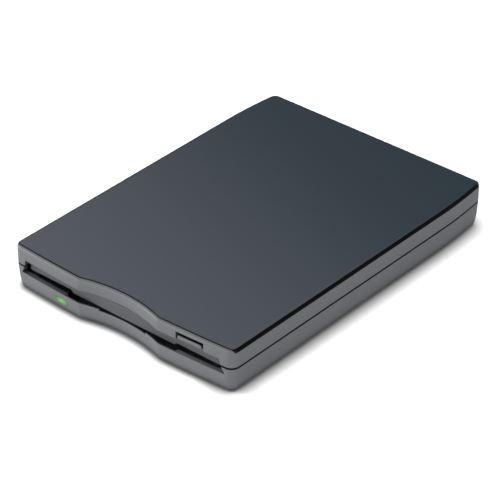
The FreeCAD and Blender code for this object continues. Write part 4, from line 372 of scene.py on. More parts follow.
def quarter(radius, top, steps):
    """A rounded top edge as (draw-in, height) pairs: r (1 - cos t), top - r (1 - sin t), t up to pi / 2."""
    turn = np.linspace(0, math.pi / 2, steps + 1)
    return np.stack([radius * (1 - np.cos(turn)), top - radius * (1 - np.sin(turn))], 1)


# ---- finishes: plastics, paint and rubber ----
# Grain, fleck, pores and tool marks too fine to show are drawn as coarse as they need to show, here
# and in the metals: several times wider than the real ones.

def eroded_plastic(name, tint, grain, relief, roughness, gap=0.0, lips=0.0):
    """Thermoplastic moulded in a spark-eroded tool: an even, fine pebble that breaks up the light.

    The pebble drives the bump and a small change of roughness; a slow cloud, where the melt cooled
    unevenly, changes the tone by a few percent. Within gap of another surface the tone is painted
    darker, down to a tenth: painted shade in joints and recesses, from the share of open sky around
    the point. Painted shade also lies on the lips of the seam, up to the distance lips over and under it.
    """
    material, add, place = new_material(name)
    pebble = add("TexNoise", {"Vector": place, "Scale": 1 / grain, "Detail": 3.0, "Roughness": 0.6})
    cloud = add("TexNoise", {"Vector": place, "Scale": 1 / (60 * grain)})
    shades = [add("MapRange", {"Value": cloud, "To Min": 0.96, "To Max": 1.04})]
    # Painted shade: the share of open sky within gap darkens the tone, down to a tenth in joints and
    # recesses.
    if gap:
        space = add("AmbientOcclusion", {"Distance": gap}, samples=8).outputs["AO"]
        shades.append(add("MapRange", {"Value": space, "From Min": 0.35, "From Max": 0.9, "To Min": 0.1}))
    # Painted shade: a dark band on the seam's lips, within lips of the seam's middle height.
    if lips:
        height = add("SeparateXYZ", {0: place}).outputs["Z"]
        away = add("Math", {0: height, 1: SEAM}, operation="SUBTRACT")
        away = add("Math", {0: away}, operation="ABSOLUTE")
        shades.append(add("MapRange", {"Value": away, "From Min": lips - 0.06 * MM,
                                       "From Max": lips + 0.02 * MM, "To Min": 0.1}))
    base = tint
    for shade in shades:
        base = add("Mix", {"Factor": 1.0, "A": base, "B": shade}, **TIMES)
    gloss = add("MapRange", {"Value": pebble, "To Min": roughness - 0.06, "To Max": roughness + 0.06})
    bump = add("Bump", {"Height": pebble, "Distance": relief})
    shader = add("BsdfPrincipled", {"Base Color": base, "Roughness": gloss, "IOR": 1.53, "Normal": bump})
    return finished(material, shader)


def sprayed_lacquer(tint, edge_tint, roughness, gloss_level):
    """Slate lacquer sprayed on: a faint orange peel, a fine fleck, and painted shade on the rolled edge.

    Where the surface turns down, the colour goes to a dull black and the gloss falls: painted shade,
    whose share rises as the normal leaves the vertical.
    """
    material, add, place = new_material("sprayed_lacquer")
    peel = add("TexNoise", {"Vector": place, "Scale": 1 / (1.2 * MM), "Detail": 1.0})
    fleck = add("TexNoise", {"Vector": place, "Scale": 1 / (0.18 * MM)})
    tone = add("MapRange", {"Value": fleck, "From Min": 0.3, "From Max": 0.7, "To Min": 0.9, "To Max": 1.1})
    paint = add("Mix", {"Factor": 1.0, "A": tint, "B": tone}, **TIMES)
    facing = add("SeparateXYZ", {0: place.node.outputs["Normal"]}).outputs["Z"]
    # Painted shade on the rolled edge: its share rises as the normal turns away from straight up.
    worn = add("MapRange", {"Value": facing, "From Min": 0.995, "From Max": 0.93})
    base = add("Mix", {"Factor": worn, "A": paint, "B": edge_tint}, **BLEND)
    rough = add("MapRange", {"Value": fleck, "To Min": roughness - 0.05, "To Max": roughness + 0.05})
    level = add("MapRange", {"Value": worn, "To Min": gloss_level, "To Max": 0.08})
    bump = add("Bump", {"Height": peel, "Distance": 0.004 * MM})
    shader = add("BsdfPrincipled", {"Base Color": base, "Roughness": rough, "IOR": 1.5,
                                    "Specular IOR Level": level, "Normal": bump})
    return finished(material, shader)


def tinted_acrylic(tint, core, centre):
    """Cast acrylic lit from behind: clear green, brightest in the middle where the light pipe ends.

    The glow falls with the distance from the lens's middle, and much faster into the drive, where the
    pipe keeps its light in and is seen as smoky plastic.
    """
    material, add, place = new_material("tinted_acrylic")
    away = add("VectorMath", {0: place, 1: centre}, operation="SUBTRACT")
    away = add("VectorMath", {0: away, 1: (1.0, 3.0, 1.8)}, operation="MULTIPLY")
    away = add("VectorMath", {0: away}, operation="LENGTH")
    middle, lit = [add("MapRange", {"Value": away, "From Min": near * MM, "From Max": far * MM,
                                    "To Min": 1.0, "To Max": 0.0})
                   for near, far in ((0.3, 2.8), (3.4, 6.0))]
    green = add("Mix", {"Factor": middle, "A": tint, "B": core}, **BLEND)
    base = add("Mix", {"Factor": lit, "A": linear("#20261f"), "B": green}, **BLEND)
    glow = add("Math", {0: lit, 1: 0.18}, operation="MULTIPLY")
    haze = add("TexNoise", {"Vector": place, "Scale": 1 / (0.6 * MM)})
    rough = add("MapRange", {"Value": haze, "To Min": 0.12, "To Max": 0.24})
    shader = add("BsdfPrincipled", {"Base Color": base, "Roughness": rough, "IOR": 1.49,
                                    "Transmission Weight": 0.15, "Emission Color": base,
                                    "Emission Strength": glow})
    return finished(material, shader)


def moulded_rubber(name, tint):
    """Moulded rubber: matt, with a fine grain and a little dust in its hollows."""
    material, add, place = new_material(name)
    grain = add("TexNoise", {"Vector": place, "Scale": 1 / (0.2 * MM), "Detail": 4.0})
    dust = add("TexNoise", {"Vector": place, "Scale": 1 / (3 * MM), "Detail": 3.0})
    share = add("MapRange", {"Value": dust, "From Min": 0.45, "To Max": 0.12})
    base = add("Mix", {"Factor": share, "A": tint, "B": linear("#8b8780")}, **BLEND)
    bump = add("Bump", {"Height": grain, "Distance": 0.02 * MM})
    shader = add("BsdfPrincipled", {"Base Color": base, "Roughness": 0.78, "IOR": 1.52, "Normal": bump})
    return finished(material, shader)


# ---- finishes: metals ----

def rolled_sheet(name, tint, roughness, spangle):
    """Plated steel sheet: long fine streaks from the rolls, and zinc crystals where spangle isn't nought.

    The streaks are a noise drawn out forty times along Y; the crystals are cells of two shades.
    """
    material, add, place = new_material(name)
    drawn = add("Mapping", {"Vector": place, "Scale": (1.0, 0.025, 1.0)})
    streak = add("TexNoise", {"Vector": drawn, "Scale": 1 / (0.15 * MM), "Detail": 3.0})
    cells = add("TexVoronoi", {"Vector": place, "Scale": 1 / (3.5 * MM)}).outputs["Color"]
    shade = add("MapRange", {"Value": cells, "To Min": 1 - spangle})
    base = add("Mix", {"Factor": 1.0, "A": tint, "B": shade}, **TIMES)
    rough = add("MapRange", {"Value": streak, "To Min": roughness - 0.08, "To Max": roughness + 0.1})
    bump = add("Bump", {"Height": streak, "Distance": 0.003 * MM})
    shader = add("BsdfPrincipled", {"Base Color": base, "Metallic": 1.0, "Roughness": rough, "Normal": bump})
    return finished(material, shader)


def tooled(material, add, tint, marks, dark, rough, smooth):
    """Bare metal with tool marks: darker and rougher in the marks, bright and smooth on their crests."""
    gloss = add("MapRange", {"Value": marks, "To Min": rough, "To Max": smooth})
    shade = add("MapRange", {"Value": marks, "To Min": dark})
    base = add("Mix", {"Factor": 1.0, "A": tint, "B": shade}, **TIMES)
    bump = add("Bump", {"Height": marks, "Distance": 0.004 * MM})
    shader = add("BsdfPrincipled", {"Base Color": base, "Metallic": 1.0, "Roughness": gloss, "Normal": bump})
    return finished(material, shader)


def turned_metal(name, tint, roughness, pitch, axis):
    """Metal turned or ground on a lathe, or wire drawn through a die: fine marks across its axis."""
    material, add, place = new_material(name)
    marks = add("TexWave", {"Vector": place, "Scale": bands(pitch), "Distortion": 0.6, "Detail": 1.0},
                bands_direction=axis)
    return tooled(material, add, tint, marks.outputs["Fac"], 0.92, roughness + 0.06, roughness - 0.04)


def faced_metal(name, tint, roughness, pitch):
    """Metal spun or faced on a lathe: rings round the spindle's axis."""
    material, add, place = new_material(name)
    moved = add("Mapping", {"Vector": place, "Location": (0.0, -SPINDLE_Y, 0.0)})
    rings = add("TexWave", {"Vector": moved, "Scale": bands(pitch), "Distortion": 0.4},
                wave_type="RINGS", rings_direction="Z")
    return tooled(material, add, tint, rings.outputs["Fac"], 0.9, roughness + 0.08, roughness - 0.05)


def sintered_bronze(tint):
    """Pressed and sintered bronze: a dull, porous skin with darker, oily pores."""
    material, add, place = new_material("sintered_bronze")
    pores = add("TexVoronoi", {"Vector": place, "Scale": 1 / (0.25 * MM)})
    share = add("MapRange", {"Value": pores, "From Min": 0.1, "From Max": 0.4, "To Min": 0.5, "To Max": 0.0})
    base = add("Mix", {"Factor": share, "A": tint, "B": linear("#3a2f1f")}, **BLEND)
    bump = add("Bump", {"Height": pores, "Distance": 0.02 * MM})
    shader = add("BsdfPrincipled", {"Base Color": base, "Metallic": 1.0, "Roughness": 0.48, "Normal": bump})
    return finished(material, shader)


def bonded_ferrite(tint):
    """Ferrite powder in a binder: nearly black, dull, with a fine glint of grains."""
    material, add, place = new_material("bonded_ferrite")
    grain = add("TexVoronoi", {"Vector": place, "Scale": 1 / (0.15 * MM)})
    base = add("Mix", {"Factor": grain, "A": linear("#4a4a4d"), "B": tint}, **BLEND)
    bump = add("Bump", {"Height": grain, "Distance": 0.01 * MM})
    shader = add("BsdfPrincipled", {"Base Color": base, "Metallic": 0.2, "Roughness": 0.62, "Normal": bump})
    return finished(material, shader)


def wound_copper(tint):
    """Enamelled copper wire wound in layers: fine parallel turns under a clear coat."""
    material, add, place = new_material("enamelled_copper_wire")
    turns = add("TexWave", {"Vector": place, "Scale": bands(0.25 * MM), "Distortion": 0.3},
                bands_direction="Z").outputs["Fac"]
    base = add("Mix", {"Factor": turns, "A": linear("#5c2f16"), "B": tint}, **BLEND)
    bump = add("Bump", {"Height": turns, "Distance": 0.06 * MM})
    shader = add("BsdfPrincipled", {"Base Color": base, "Metallic": 1.0, "Roughness": 0.3, "Coat Weight": 0.6,
                                    "Coat Roughness": 0.15, "Normal": bump})
    return finished(material, shader)


# ---- finishes: electronics ----

def masked_board(mask, track):
    """Glass-epoxy board under solder mask: copper tracks show through as lighter lines, pads as tinned dots.

    Cells of 5 mm choose whether their tracks run along X or along Y; dots stand on a finer lattice.
    """
    material, add, place = new_material("solder_masked_board")
    cells = add("TexVoronoi", {"Vector": place, "Scale": 1 / (5 * MM)}, distance="CHEBYCHEV")
    along, across = [add("TexWave", {"Vector": place, "Scale": bands(0.9 * MM)},
                         bands_direction=axis).outputs["Fac"] for axis in ("X", "Y")]
    choice = add("Math", {0: cells.outputs["Color"], 1: 0.5}, operation="GREATER_THAN")
    run = add("Mix", {"Factor": choice, "A": along, "B": across})
    tracks = add("MapRange", {"Value": run, "From Min": 0.62, "From Max": 0.7})
    base = add("Mix", {"Factor": tracks, "A": mask, "B": track}, **BLEND)
    dots = add("TexVoronoi", {"Vector": place, "Scale": 1 / (2.6 * MM), "Randomness": 0.7})
    pads = add("Math", {0: dots, 1: 0.14}, operation="LESS_THAN")
    tinned = add("Mix", {"Factor": pads, "A": base, "B": linear("#a9adb0")}, **BLEND)
    bump = add("Bump", {"Height": tracks, "Distance": 0.035 * MM})
    shader = add("BsdfPrincipled", {"Base Color": tinned, "Metallic": pads, "Roughness": 0.34, "IOR": 1.5,
                                    "Normal": bump})
    return finished(material, shader)


def striped_film(name, tint, stripe, pitch, roughness):
    """A film or ribbon with conductors side by side: each one stands up a little and shows through."""
    material, add, place = new_material(name)
    wires = add("TexWave", {"Vector": place, "Scale": bands(pitch)}, bands_direction="X").outputs["Fac"]
    share = add("MapRange", {"Value": wires, "From Min": 0.4, "From Max": 0.6})
    base = add("Mix", {"Factor": share, "A": tint, "B": stripe}, **BLEND)
    bump = add("Bump", {"Height": wires, "Distance": 0.05 * MM})
    shader = add("BsdfPrincipled", {"Base Color": base, "Roughness": roughness, "IOR": 1.55, "Normal": bump})
    return finished(material, shader)


def sleeved_can(sleeve, top_z):
    """A drawn aluminium can in a shrunk sleeve: bare and bright on top, glossy plastic below."""
    material, add, place = new_material("sleeved_aluminium_can")
    height = add("SeparateXYZ", {0: place}).outputs["Z"]
    bare = add("Math", {0: height, 1: top_z - 0.3 * MM}, operation="GREATER_THAN")
    marks = add("TexNoise", {"Vector": place, "Scale": 1 / (0.4 * MM)})
    rough = add("MapRange", {"Value": marks, "To Min": 0.22, "To Max": 0.4})
    base = add("Mix", {"Factor": bare, "A": sleeve, "B": linear("#c4c6c8")}, **BLEND)
    shader = add("BsdfPrincipled", {"Base Color": base, "Metallic": bare, "Roughness": rough})
    return finished(material, shader)


def lapped_ceramic(tint):
    """Head slider ceramic: lapped nearly to a mirror, with faint cloudy grains."""
    material, add, place = new_material("lapped_ceramic")
    grain = add("TexVoronoi", {"Vector": place, "Scale": 1 / (0.3 * MM)})
    base = add("Mix", {"Factor": grain, "A": tint, "B": linear("#7d6a55")}, **BLEND)
    rough = add("MapRange", {"Value": grain, "To Min": 0.08, "To Max": 0.2})
    shader = add("BsdfPrincipled", {"Base Color": base, "Roughness": rough, "IOR": 2.2})
    return finished(material, shader)


# ---- studio ----

def white_paper(stage):
    """Matt white paper for the floor.

    The camera sees it brighter than it is, so the plain of the floor is white and the drive's shadow
    stays. Close to the drive it is darker, as it is where no lamp reaches under the edge: the share of
    open sky within a reach gives that, and the reach is twice as far on the right, away from the lamps.
    """
    material, add, place = new_material("white_paper")
    across = add("SeparateXYZ", {0: place}).outputs["X"]
    reach = add("MapRange", {"Value": across, "From Min": 35 * MM, "From Max": HALF,
                             "To Min": 3.5 * MM, "To Max": 8 * MM})
    near = add("AmbientOcclusion", {"Distance": reach}).outputs["AO"]
    near = add("MapRange", {"Value": near, "From Min": 0.4, "To Min": 0.15})
    tones = [add("Math", {0: near, 1: level}, operation="MULTIPLY")
             for level in (PAPER_WHITE, stage.floor)]
    paper, shown = [add("BsdfDiffuse", {"Color": tone}) for tone in tones]
    camera = add("LightPath").outputs["Is Camera Ray"]
    pick = add("MixShader", {"Fac": camera, 1: paper, 2: shown})
    return finished(material, pick)


def studio_world(stage):
    """Even light from all round, white to the camera, and a softbox screen for what glossy surfaces mirror.

    The screen stands at the rear left and fades downward and towards the right and the front; below it
    is a dim wall and above it a dim ceiling. Each edge is a smooth ramp over one part of the direction.
    """
    world = bpy.data.worlds.new("studio")
    world.use_nodes = True
    world.node_tree.nodes.clear()
    add = partial(add_node, world.node_tree)
    rays = add("LightPath").outputs
    way = add("TexCoord").outputs["Generated"]
    slope = add("VectorMath", {0: way, 1: (-0.2, -0.69, 0.69)}, operation="DOT_PRODUCT")
    part = add("SeparateXYZ", {0: way}).outputs
    sheen = 1.0
    for value, start, end, least, most, join in (
            (slope, 0.015, 0.08, 0.0, 1.0, "MULTIPLY"), (part["X"], -0.2, -0.42, 0.12, 1.0, "MULTIPLY"),
            (part["Y"], 0.15, 0.4, 0.12, 1.0, "MULTIPLY"), (slope, -0.04, -0.14, 0.0, stage.room, "MAXIMUM"),
            (part["Z"], 0.75, 0.92, 0.0, stage.room, "MAXIMUM")):
        ramp = add("MapRange", {"Value": value, "From Min": start, "From Max": end, "To Min": least,
                                "To Max": most}, interpolation_type="SMOOTHSTEP")
        sheen = add("Math", {0: sheen, 1: ramp}, operation=join)
    seen = add("Math", {0: rays["Is Camera Ray"], 1: rays["Is Transmission Ray"]}, operation="MAXIMUM")
    level = add("Math", {0: seen, 1: sheen}, operation="MAXIMUM")
    tone = add("Mix", {"Factor": seen, "A": stage.screen, "B": (1, 1, 1, 1)}, **BLEND)
    bright = add("Background", {"Color": tone, "Strength": level})
    soft = add("Background", {"Color": (1, 1, 1, 1), "Strength": stage.world})
    direct = add("Math", {0: seen, 1: rays["Is Glossy Ray"]}, operation="MAXIMUM")
    add("OutputWorld", {"Surface": add("MixShader", {"Fac": direct, 1: soft, 2: bright})})
    return world


# ---- sizes and colours ----

class ShellSettings(PropertyGroup):
    tint: colour("Colour", "the case and the button", "#85878b")
    edge: length("Edge radius", "Radius on the edges of the shells", 0.09)
    grain: length("Grain", "Spacing of the moulded grain", 0.3)
    relief: length("Relief", "Depth of the moulded grain", 0.012)
    # Joint width: within it of another surface, the shells' tone is painted darker as shade.
    gap: length("Joint width", "How near another surface has to be for a joint to look dark", 3.5)
    # Seam lips: a band this far over and under the seam's middle is painted dark as shade.
    lips: length("Seam lips", "How far the dust lies over and under the middle of the seam", 0.42)


class PanelSettings(PropertyGroup):
    tint: colour("Lacquer", "the lacquer", "#2c4753")
    # The rolled edge's colour is painted shade: a dull near-black laid on the turned-down edge.
    edge_shade: colour("Primer", "the primer on the rolled edge", "#101214")
    roll: length("Edge roll", "Radius of the plate's rolled edge", 1.15)
    roughness: plain("Roughness", "Roughness of the lacquer", 0.2)
    gloss: plain("Gloss", "Specular level of the lacquer", 0.9)


class ButtonSettings(PropertyGroup):
    edge: length("Edge radius", "Radius on the front edges", 0.45)
    side: length("Side", "How much narrower the cap is at each end", 0.2)
    lip: length("Lip", "Thickness of the top lip", 0.55)
    slope: length("Slope", "How far the top falls behind the lip", 1.15)


class FlapSettings(PropertyGroup):
    # The flap's grey is darker than the case's: partly its own colour, partly painted shade of the slot's
    # recess.
    tint: colour("Colour", "the dust flap", "#696b6e")
    edge: length("Edge radius", "Radius on the flap's edges", 0.12)


class LightSettings(PropertyGroup):
    tint: colour("Tint", "the lens's edge", "#5c9a57")
    core: colour("Core", "the lens's middle", "#8fd67f")
    dome: length("Dome", "How far the lens bulges", 0.15)


class RubberSettings(PropertyGroup):
    foot: colour("Feet", "the feet", "#26272a")
    bush: colour("Bush", "the cable bush", "#1f2022")
    edge: length("Edge radius", "Radius on the edges of feet and bush", 0.3)


class MetalSettings(PropertyGroup):
    chassis: colour("Chassis", "the zinc plated chassis", "#a9acae")
    sheet: colour("Sheet", "the bright sheet", "#b4b7b9")
    ground: colour("Ground steel", "pins and rods", "#c4c6c8")
    plated: colour("Screws", "the plated screws", "#a5a7a8")
    can: colour("Motor cans", "the drawn cans", "#a1a4a7")
    bronze: colour("Bronze", "the bearing", "#9c7a45")
    copper: colour("Copper", "the windings", "#b06a3a")
    ferrite: colour("Ferrite", "the magnet", "#2b2b2d")


class BoardSettings(PropertyGroup):
    mask: colour("Solder mask", "the boards", "#1d5637")
    track: colour("Tracks", "the tracks under the mask", "#2f7a4d")
    epoxy: colour("Chips", "the moulded chips", "#202124")
    white: colour("White parts", "connectors and keys", "#d9d8d0")
    black: colour("Black parts", "switches, clamps and sensors", "#1d1e20")
    film: colour("Flex film", "the head flex", "#a5642a")
    ribbon: colour("Ribbon", "the flat cable", "#d8dadc")


class StageSettings(PropertyGroup):
    azimuth: plain("Azimuth", "The camera's way round the drive, from its front", math.radians(40.69),
                   least=-math.pi, subtype="ANGLE")
    elevation: plain("Elevation", "The camera's height as an angle", math.radians(33.3), subtype="ANGLE")
    distance: length("Distance", "From the camera to the drive", 975.2)
    focal: plain("Focal length", "The lens in millimetres", 192.8)
    world: plain("Room", "Strength of the even light from all round", 0.22)
    left: plain("Left", "Power of the low lamp at the front left", 7.0, unit="POWER")
    front: plain("Front", "Power of the low lamp before the slot", 2.2, unit="POWER")
    side: plain("Side", "Power of the lamp at the right", 2.3, unit="POWER")
    rear: plain("Rear", "Power of the low lamp behind the drive", 2.0, unit="POWER")
    floor: plain("Floor", "How white the floor shows to the camera", 3.6)
    room: plain("Walls", "Strength of the dim wall and ceiling that glossy surfaces mirror", 0.3)
    screen: colour("Screen", "the screen that glossy surfaces mirror", "#fff6fd")


# ---- operators ----

class DRIVE_OT_shells(Operator):
    """Round the edges of both case shells and give them their moulded finish."""
    bl_idname = "drive.shells"
    bl_label = "Case Shells"

    def execute(self, context):
        sizes = context.scene.drive_shells
        # The finish paints shade into the joints and recesses and onto the seam's lips.
        finish = eroded_plastic("moulded_abs", sizes.tint, sizes.grain, sizes.relief, 0.5, sizes.gap,
                                sizes.lips)
        settle(softened("upper_shell", "upper_case", sizes.edge), finish, "upper_case")
        settle(softened("lower_shell", "lower_case", sizes.edge), finish, "lower_case")
        return {"FINISHED"}


class DRIVE_OT_panel(Operator):
    """Make the painted plate: its outline carried up a rolled edge, then drawn in to a spine."""
    bl_idname = "drive.panel"
    bl_label = "Top Panel"

    def execute(self, context):
        sizes = context.scene.drive_panel
        low, high = (corner.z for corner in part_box("top_panel"))
        rings = []
        for inset, z in [(0.0, low)] + quarter(sizes.roll, high, 8).tolist():
            plan = plan_ring(PANEL_FRONT + PANEL_FRONT_ROLL * inset / sizes.roll, inset)
            rings.append(np.column_stack([plan, np.full(len(plan), z)]))

        def toward_spine(ring, shares):
            """Rings at shares of the way from a ring to the spine, a line along the plate's middle."""
            spine = ring * (0, 1, 1)
            spine[:, 1] = spine[:, 1].clip(-PANEL_SPINE, PANEL_SPINE)
            return [ring + (spine - ring) * share for share in shares]

        under = toward_spine(rings[0], (1.0, 0.5))
        inward = toward_spine(rings[-1], (0.01, 0.1, 0.3, 0.6, 1.0))
        panel = skin("panel_skin", np.array(under + rings + inward))
        finish = sprayed_lacquer(sizes.tint, sizes.edge_shade, sizes.roughness, sizes.gloss)
        settle(panel, finish, "top_panel")
        return {"FINISHED"}


class DRIVE_OT_button(Operator):
    """Make the eject button: a lipped section carried along the bow, its ends rounded off.

    Each ring is the section shifted by the bow; towards an end, at t before it, the section draws in
    by r less the root of r squared less (r - t) squared.
    """
    bl_idname = "drive.button"
    bl_label = "Eject Button"

    def execute(self, context):
        sizes = context.scene.drive_button
        low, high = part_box("eject_button")
        low.x, high.x = low.x + sizes.side, high.x - sizes.side
        depth = high.y - float(bow_y((low.x + high.x) / 2)) - BUTTON_BACK
        edge, outer, inner, fall = sizes.edge, 0.2 * MM, 0.1 * MM, 0.3 * MM
        corners = [(0, low.z), (0, high.z), (sizes.lip, high.z), (sizes.lip + fall, high.z - sizes.slope),
                   (depth, high.z - sizes.slope), (depth, low.z)]
        section = rounded(corners, [edge, edge, outer, inner, 0, 0])
        middle = np.array([depth / 2, (low.z + high.z) / 2])
        turn = np.linspace(0, math.pi / 2, 7)
        ends = edge * (1 - np.cos(turn))
        straight = np.linspace(low.x + edge, high.x - edge, 18)[1:-1]
        x = np.concatenate([[low.x], low.x + ends, straight, (high.x - ends)[::-1], [high.x]])
        inset = edge * (1 - np.sin(turn))
        draw = np.concatenate([inset[:1], inset, 0 * straight, inset[::-1], inset[:1]])
        half = np.array([depth / 2, (high.z - low.z) / 2])
        scale = (half - draw[:, None]) / half
        scale[0] = scale[-1] = 0.0
        ring = middle + (section - middle) * scale[:, None, :]
        grid = np.stack([np.repeat(x[:, None], len(section), 1), ring[..., 0], ring[..., 1]], -1)
        grid[..., 1] += (bow_y(x) + BUTTON_BACK)[:, None]
        # The cap's finish paints shade where other surfaces stand within the joint width.
        shells = context.scene.drive_shells
        finish = eroded_plastic("moulded_button_abs", shells.tint, shells.grain, shells.relief, 0.46,
                                shells.gap)
        settle(skin("button_cap", grid), finish, "eject_button", "slider")
        return {"FINISHED"}


class DRIVE_OT_flap(Operator):
    """Round the edges of the dust flap and give it its moulded finish."""
    bl_idname = "drive.flap"
    bl_label = "Dust Flap"

    def execute(self, context):
        sizes = context.scene.drive_flap
        # The flap's finish paints shade where it lies deep in the slot's recess.
        gap = context.scene.drive_shells.gap
        finish = eroded_plastic("moulded_flap_abs", sizes.tint, 0.25 * MM, 0.006 * MM, 0.45, gap)
        settle(softened("flap_leaf", "dust_flap", sizes.edge), finish, "dust_flap", "flap")
        return {"FINISHED"}


class DRIVE_OT_light(Operator):
    """Make the light pipe: slots with round ends, one behind the other, under a domed face.

    The dome's height over its edge is d (1 - s squared), s being the share of the way to the edge.
    """
    bl_idname = "drive.light"
    bl_label = "Light Pipe"

    def execute(self, context):
        sizes = context.scene.drive_light
        low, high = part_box("led_lens")
        wide, tall, margin = 6.0 * MM, 2.0 * MM, 0.5 * MM
        rod_wide, rod_tall = 2.2 * MM, 1.4 * MM
        rim, wall, pipe = low.y + 0.1 * MM, low.y + 2.6 * MM, low.y + 3.2 * MM
        x, z = (low.x + high.x) / 2, (low.z + high.z) / 2
        stations = [(low.y - sizes.dome * (1 - s * s), wide * s, tall * s) for s in np.linspace(0, 1, 7)]
        stations += [(y, wide, tall) for y in (rim, wall)]
        stations += [(y, wide + 2 * margin, tall + 2 * margin) for y in (wall, pipe)]
        stations += [(y, rod_wide, rod_tall) for y in (pipe, high.y)] + [(high.y, 0.0, 0.0)]
        place, width, height = np.array(stations).T[:, :, None]
        count = 40
        turn = (np.arange(count) + 0.5) * math.tau / count
        reach = (width - height) / 2
        across = x + reach * np.sign(np.cos(turn)) + height / 2 * np.cos(turn)
        up = z + height / 2 * np.sin(turn)
        grid = np.stack([across, np.broadcast_to(place, across.shape), up], -1)
        finish = tinted_acrylic(sizes.tint, sizes.core, (x, low.y, z))
        settle(skin("light_window", grid), finish, "led_lens")
        return {"FINISHED"}


class DRIVE_OT_rubber(Operator):
    """Turn the four feet and the cable bush from their rounded profiles."""
    bl_idname = "drive.rubber"
    bl_label = "Feet and Cable Bush"

    def execute(self, context):
        sizes = context.scene.drive_rubber
        edge, soft, fine = sizes.edge, 0.2 * MM, 0.1 * MM
        low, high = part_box("rubber_feet")
        radius, hollow = 4.0 * MM, low.z + 0.1 * MM
        profile = rounded([(0, hollow), (radius * 0.6, hollow), (radius * 0.68, low.z), (radius, low.z),
                           (radius, high.z), (0, high.z)], [0, soft, soft, edge, fine, 0])
        pads = [turned(profile, (x, y), "Z", 48) for x in (low.x + radius, high.x - radius)
                for y in (low.y + radius, high.y - radius)]
        settle(skin("foot_pads", *pads), moulded_rubber("moulded_foot_rubber", sizes.foot), "rubber_feet")
        low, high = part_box("cable_gland")
        x, z = (low.x + high.x) / 2, (low.z + high.z) / 2
        bore, neck, flange, back = 2.0 * MM, 3.0 * MM, (high.x - low.x) / 2, low.y + 1.0 * MM
        profile = rounded([(bore, low.y), (bore, high.y), (neck, high.y), (neck, back), (flange, back),
                           (flange, low.y)], [soft, edge, edge, fine, soft, soft])
        bush = turned(np.concatenate([profile, profile[:1]]), (x, z), "Y")
        settle(skin("cable_bush", bush), moulded_rubber("moulded_bush_rubber", sizes.bush), "cable_gland")
        return {"FINISHED"}


class DRIVE_OT_sheet(Operator):
    """Finish the pressed sheet parts: chassis and bracket, cover, disk holder, slider, lever and arm."""
    bl_idname = "drive.sheet"
    bl_label = "Sheet Metal"

    def execute(self, context):
        tints = context.scene.drive_metal
        dress(rolled_sheet("zinc_plated_sheet", tints.chassis, 0.38, 0.12), "drive_chassis",
              "stepper_bracket")
        dress(rolled_sheet("bright_rolled_sheet", tints.sheet, 0.28, 0.0), "drive_cover", "disk_holder")
        dress(rolled_sheet("pressed_sheet", tints.chassis, 0.33, 0.05), "eject_slider", "shutter_lever",
              "head_arm")
        return {"FINISHED"}


class DRIVE_OT_fasteners(Operator):
    """Finish the screws, pins, rods and springs."""
    bl_idname = "drive.fasteners"
    bl_label = "Screws, Pins and Springs"

    def execute(self, context):
        tints = context.scene.drive_metal
        dress(turned_metal("zinc_plated_screws", tints.plated, 0.35, 0.12 * MM, "Z"), "case_screws",
              "post_screws", "cover_screws", "bracket_screws")
        dress(turned_metal("ground_steel_pins", tints.ground, 0.2, 0.1 * MM, "Z"), "holder_pins",
              "lever_pivot", "drive_pin")
        dress(turned_metal("ground_steel_rods", tints.ground, 0.16, 0.1 * MM, "Y"), "carriage_rods",
              "lead_screw", "screw_follower")
        dress(turned_metal("ground_steel_axle", tints.ground, 0.2, 0.1 * MM, "X"), "arm_pin")
        wire = turned_metal("drawn_spring_wire", tints.can, 0.3, 0.08 * MM, "Y")
        dress(wire, "flap_spring", "lever_spring", "arm_springs")
        coils = merged("spring_coils", "eject_springs")
        coils.data.set_sharp_from_angle(angle=math.radians(50))
        low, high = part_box("eject_springs")
        hook = 1.8 * MM
        settle(coils, wire, "eject_springs", "slider",
               ((0.0, low.y + hook, high.z), (0.0, high.y - hook, high.z)))
        return {"FINISHED"}


class DRIVE_OT_motors(Operator):
    """Finish the spindle motor, its bearing and the stepper."""
    bl_idname = "drive.motors"
    bl_label = "Motors"

    def execute(self, context):
        tints = context.scene.drive_metal
        dress(faced_metal("spun_steel_rotor", tints.can, 0.3, 0.3 * MM), "spindle_rotor")
        dress(faced_metal("faced_aluminium_hub", tints.sheet, 0.25, 0.25 * MM), "spindle_hub")
        dress(bonded_ferrite(tints.ferrite), "rotor_magnet")
        dress(wound_copper(tints.copper), "stator_coils")
        dress(sintered_bronze(tints.bronze), "spindle_bearing")
        dress(turned_metal("drawn_steel_can", tints.can, 0.3, 0.2 * MM, "Y"), "stepper_motor")
        return {"FINISHED"}


class DRIVE_OT_heads(Operator):
    """Finish the head carriage, the heads and the clamps of the rods."""
    bl_idname = "drive.heads"
    bl_label = "Heads and Carriage"

    def execute(self, context):
        tints = context.scene.drive_board
        dress(eroded_plastic("glass_filled_polymer", linear("#2a2b2d"), 0.15 * MM, 0.01 * MM, 0.5),
              "head_carriage")
        dress(eroded_plastic("moulded_black_polymer", tints.black, 0.2 * MM, 0.006 * MM, 0.42), "rod_clamps",
              "switch_bodies", "track_sensor")
        dress(lapped_ceramic(linear("#5a4a3c")), "lower_head", "upper_head")
        return {"FINISHED"}


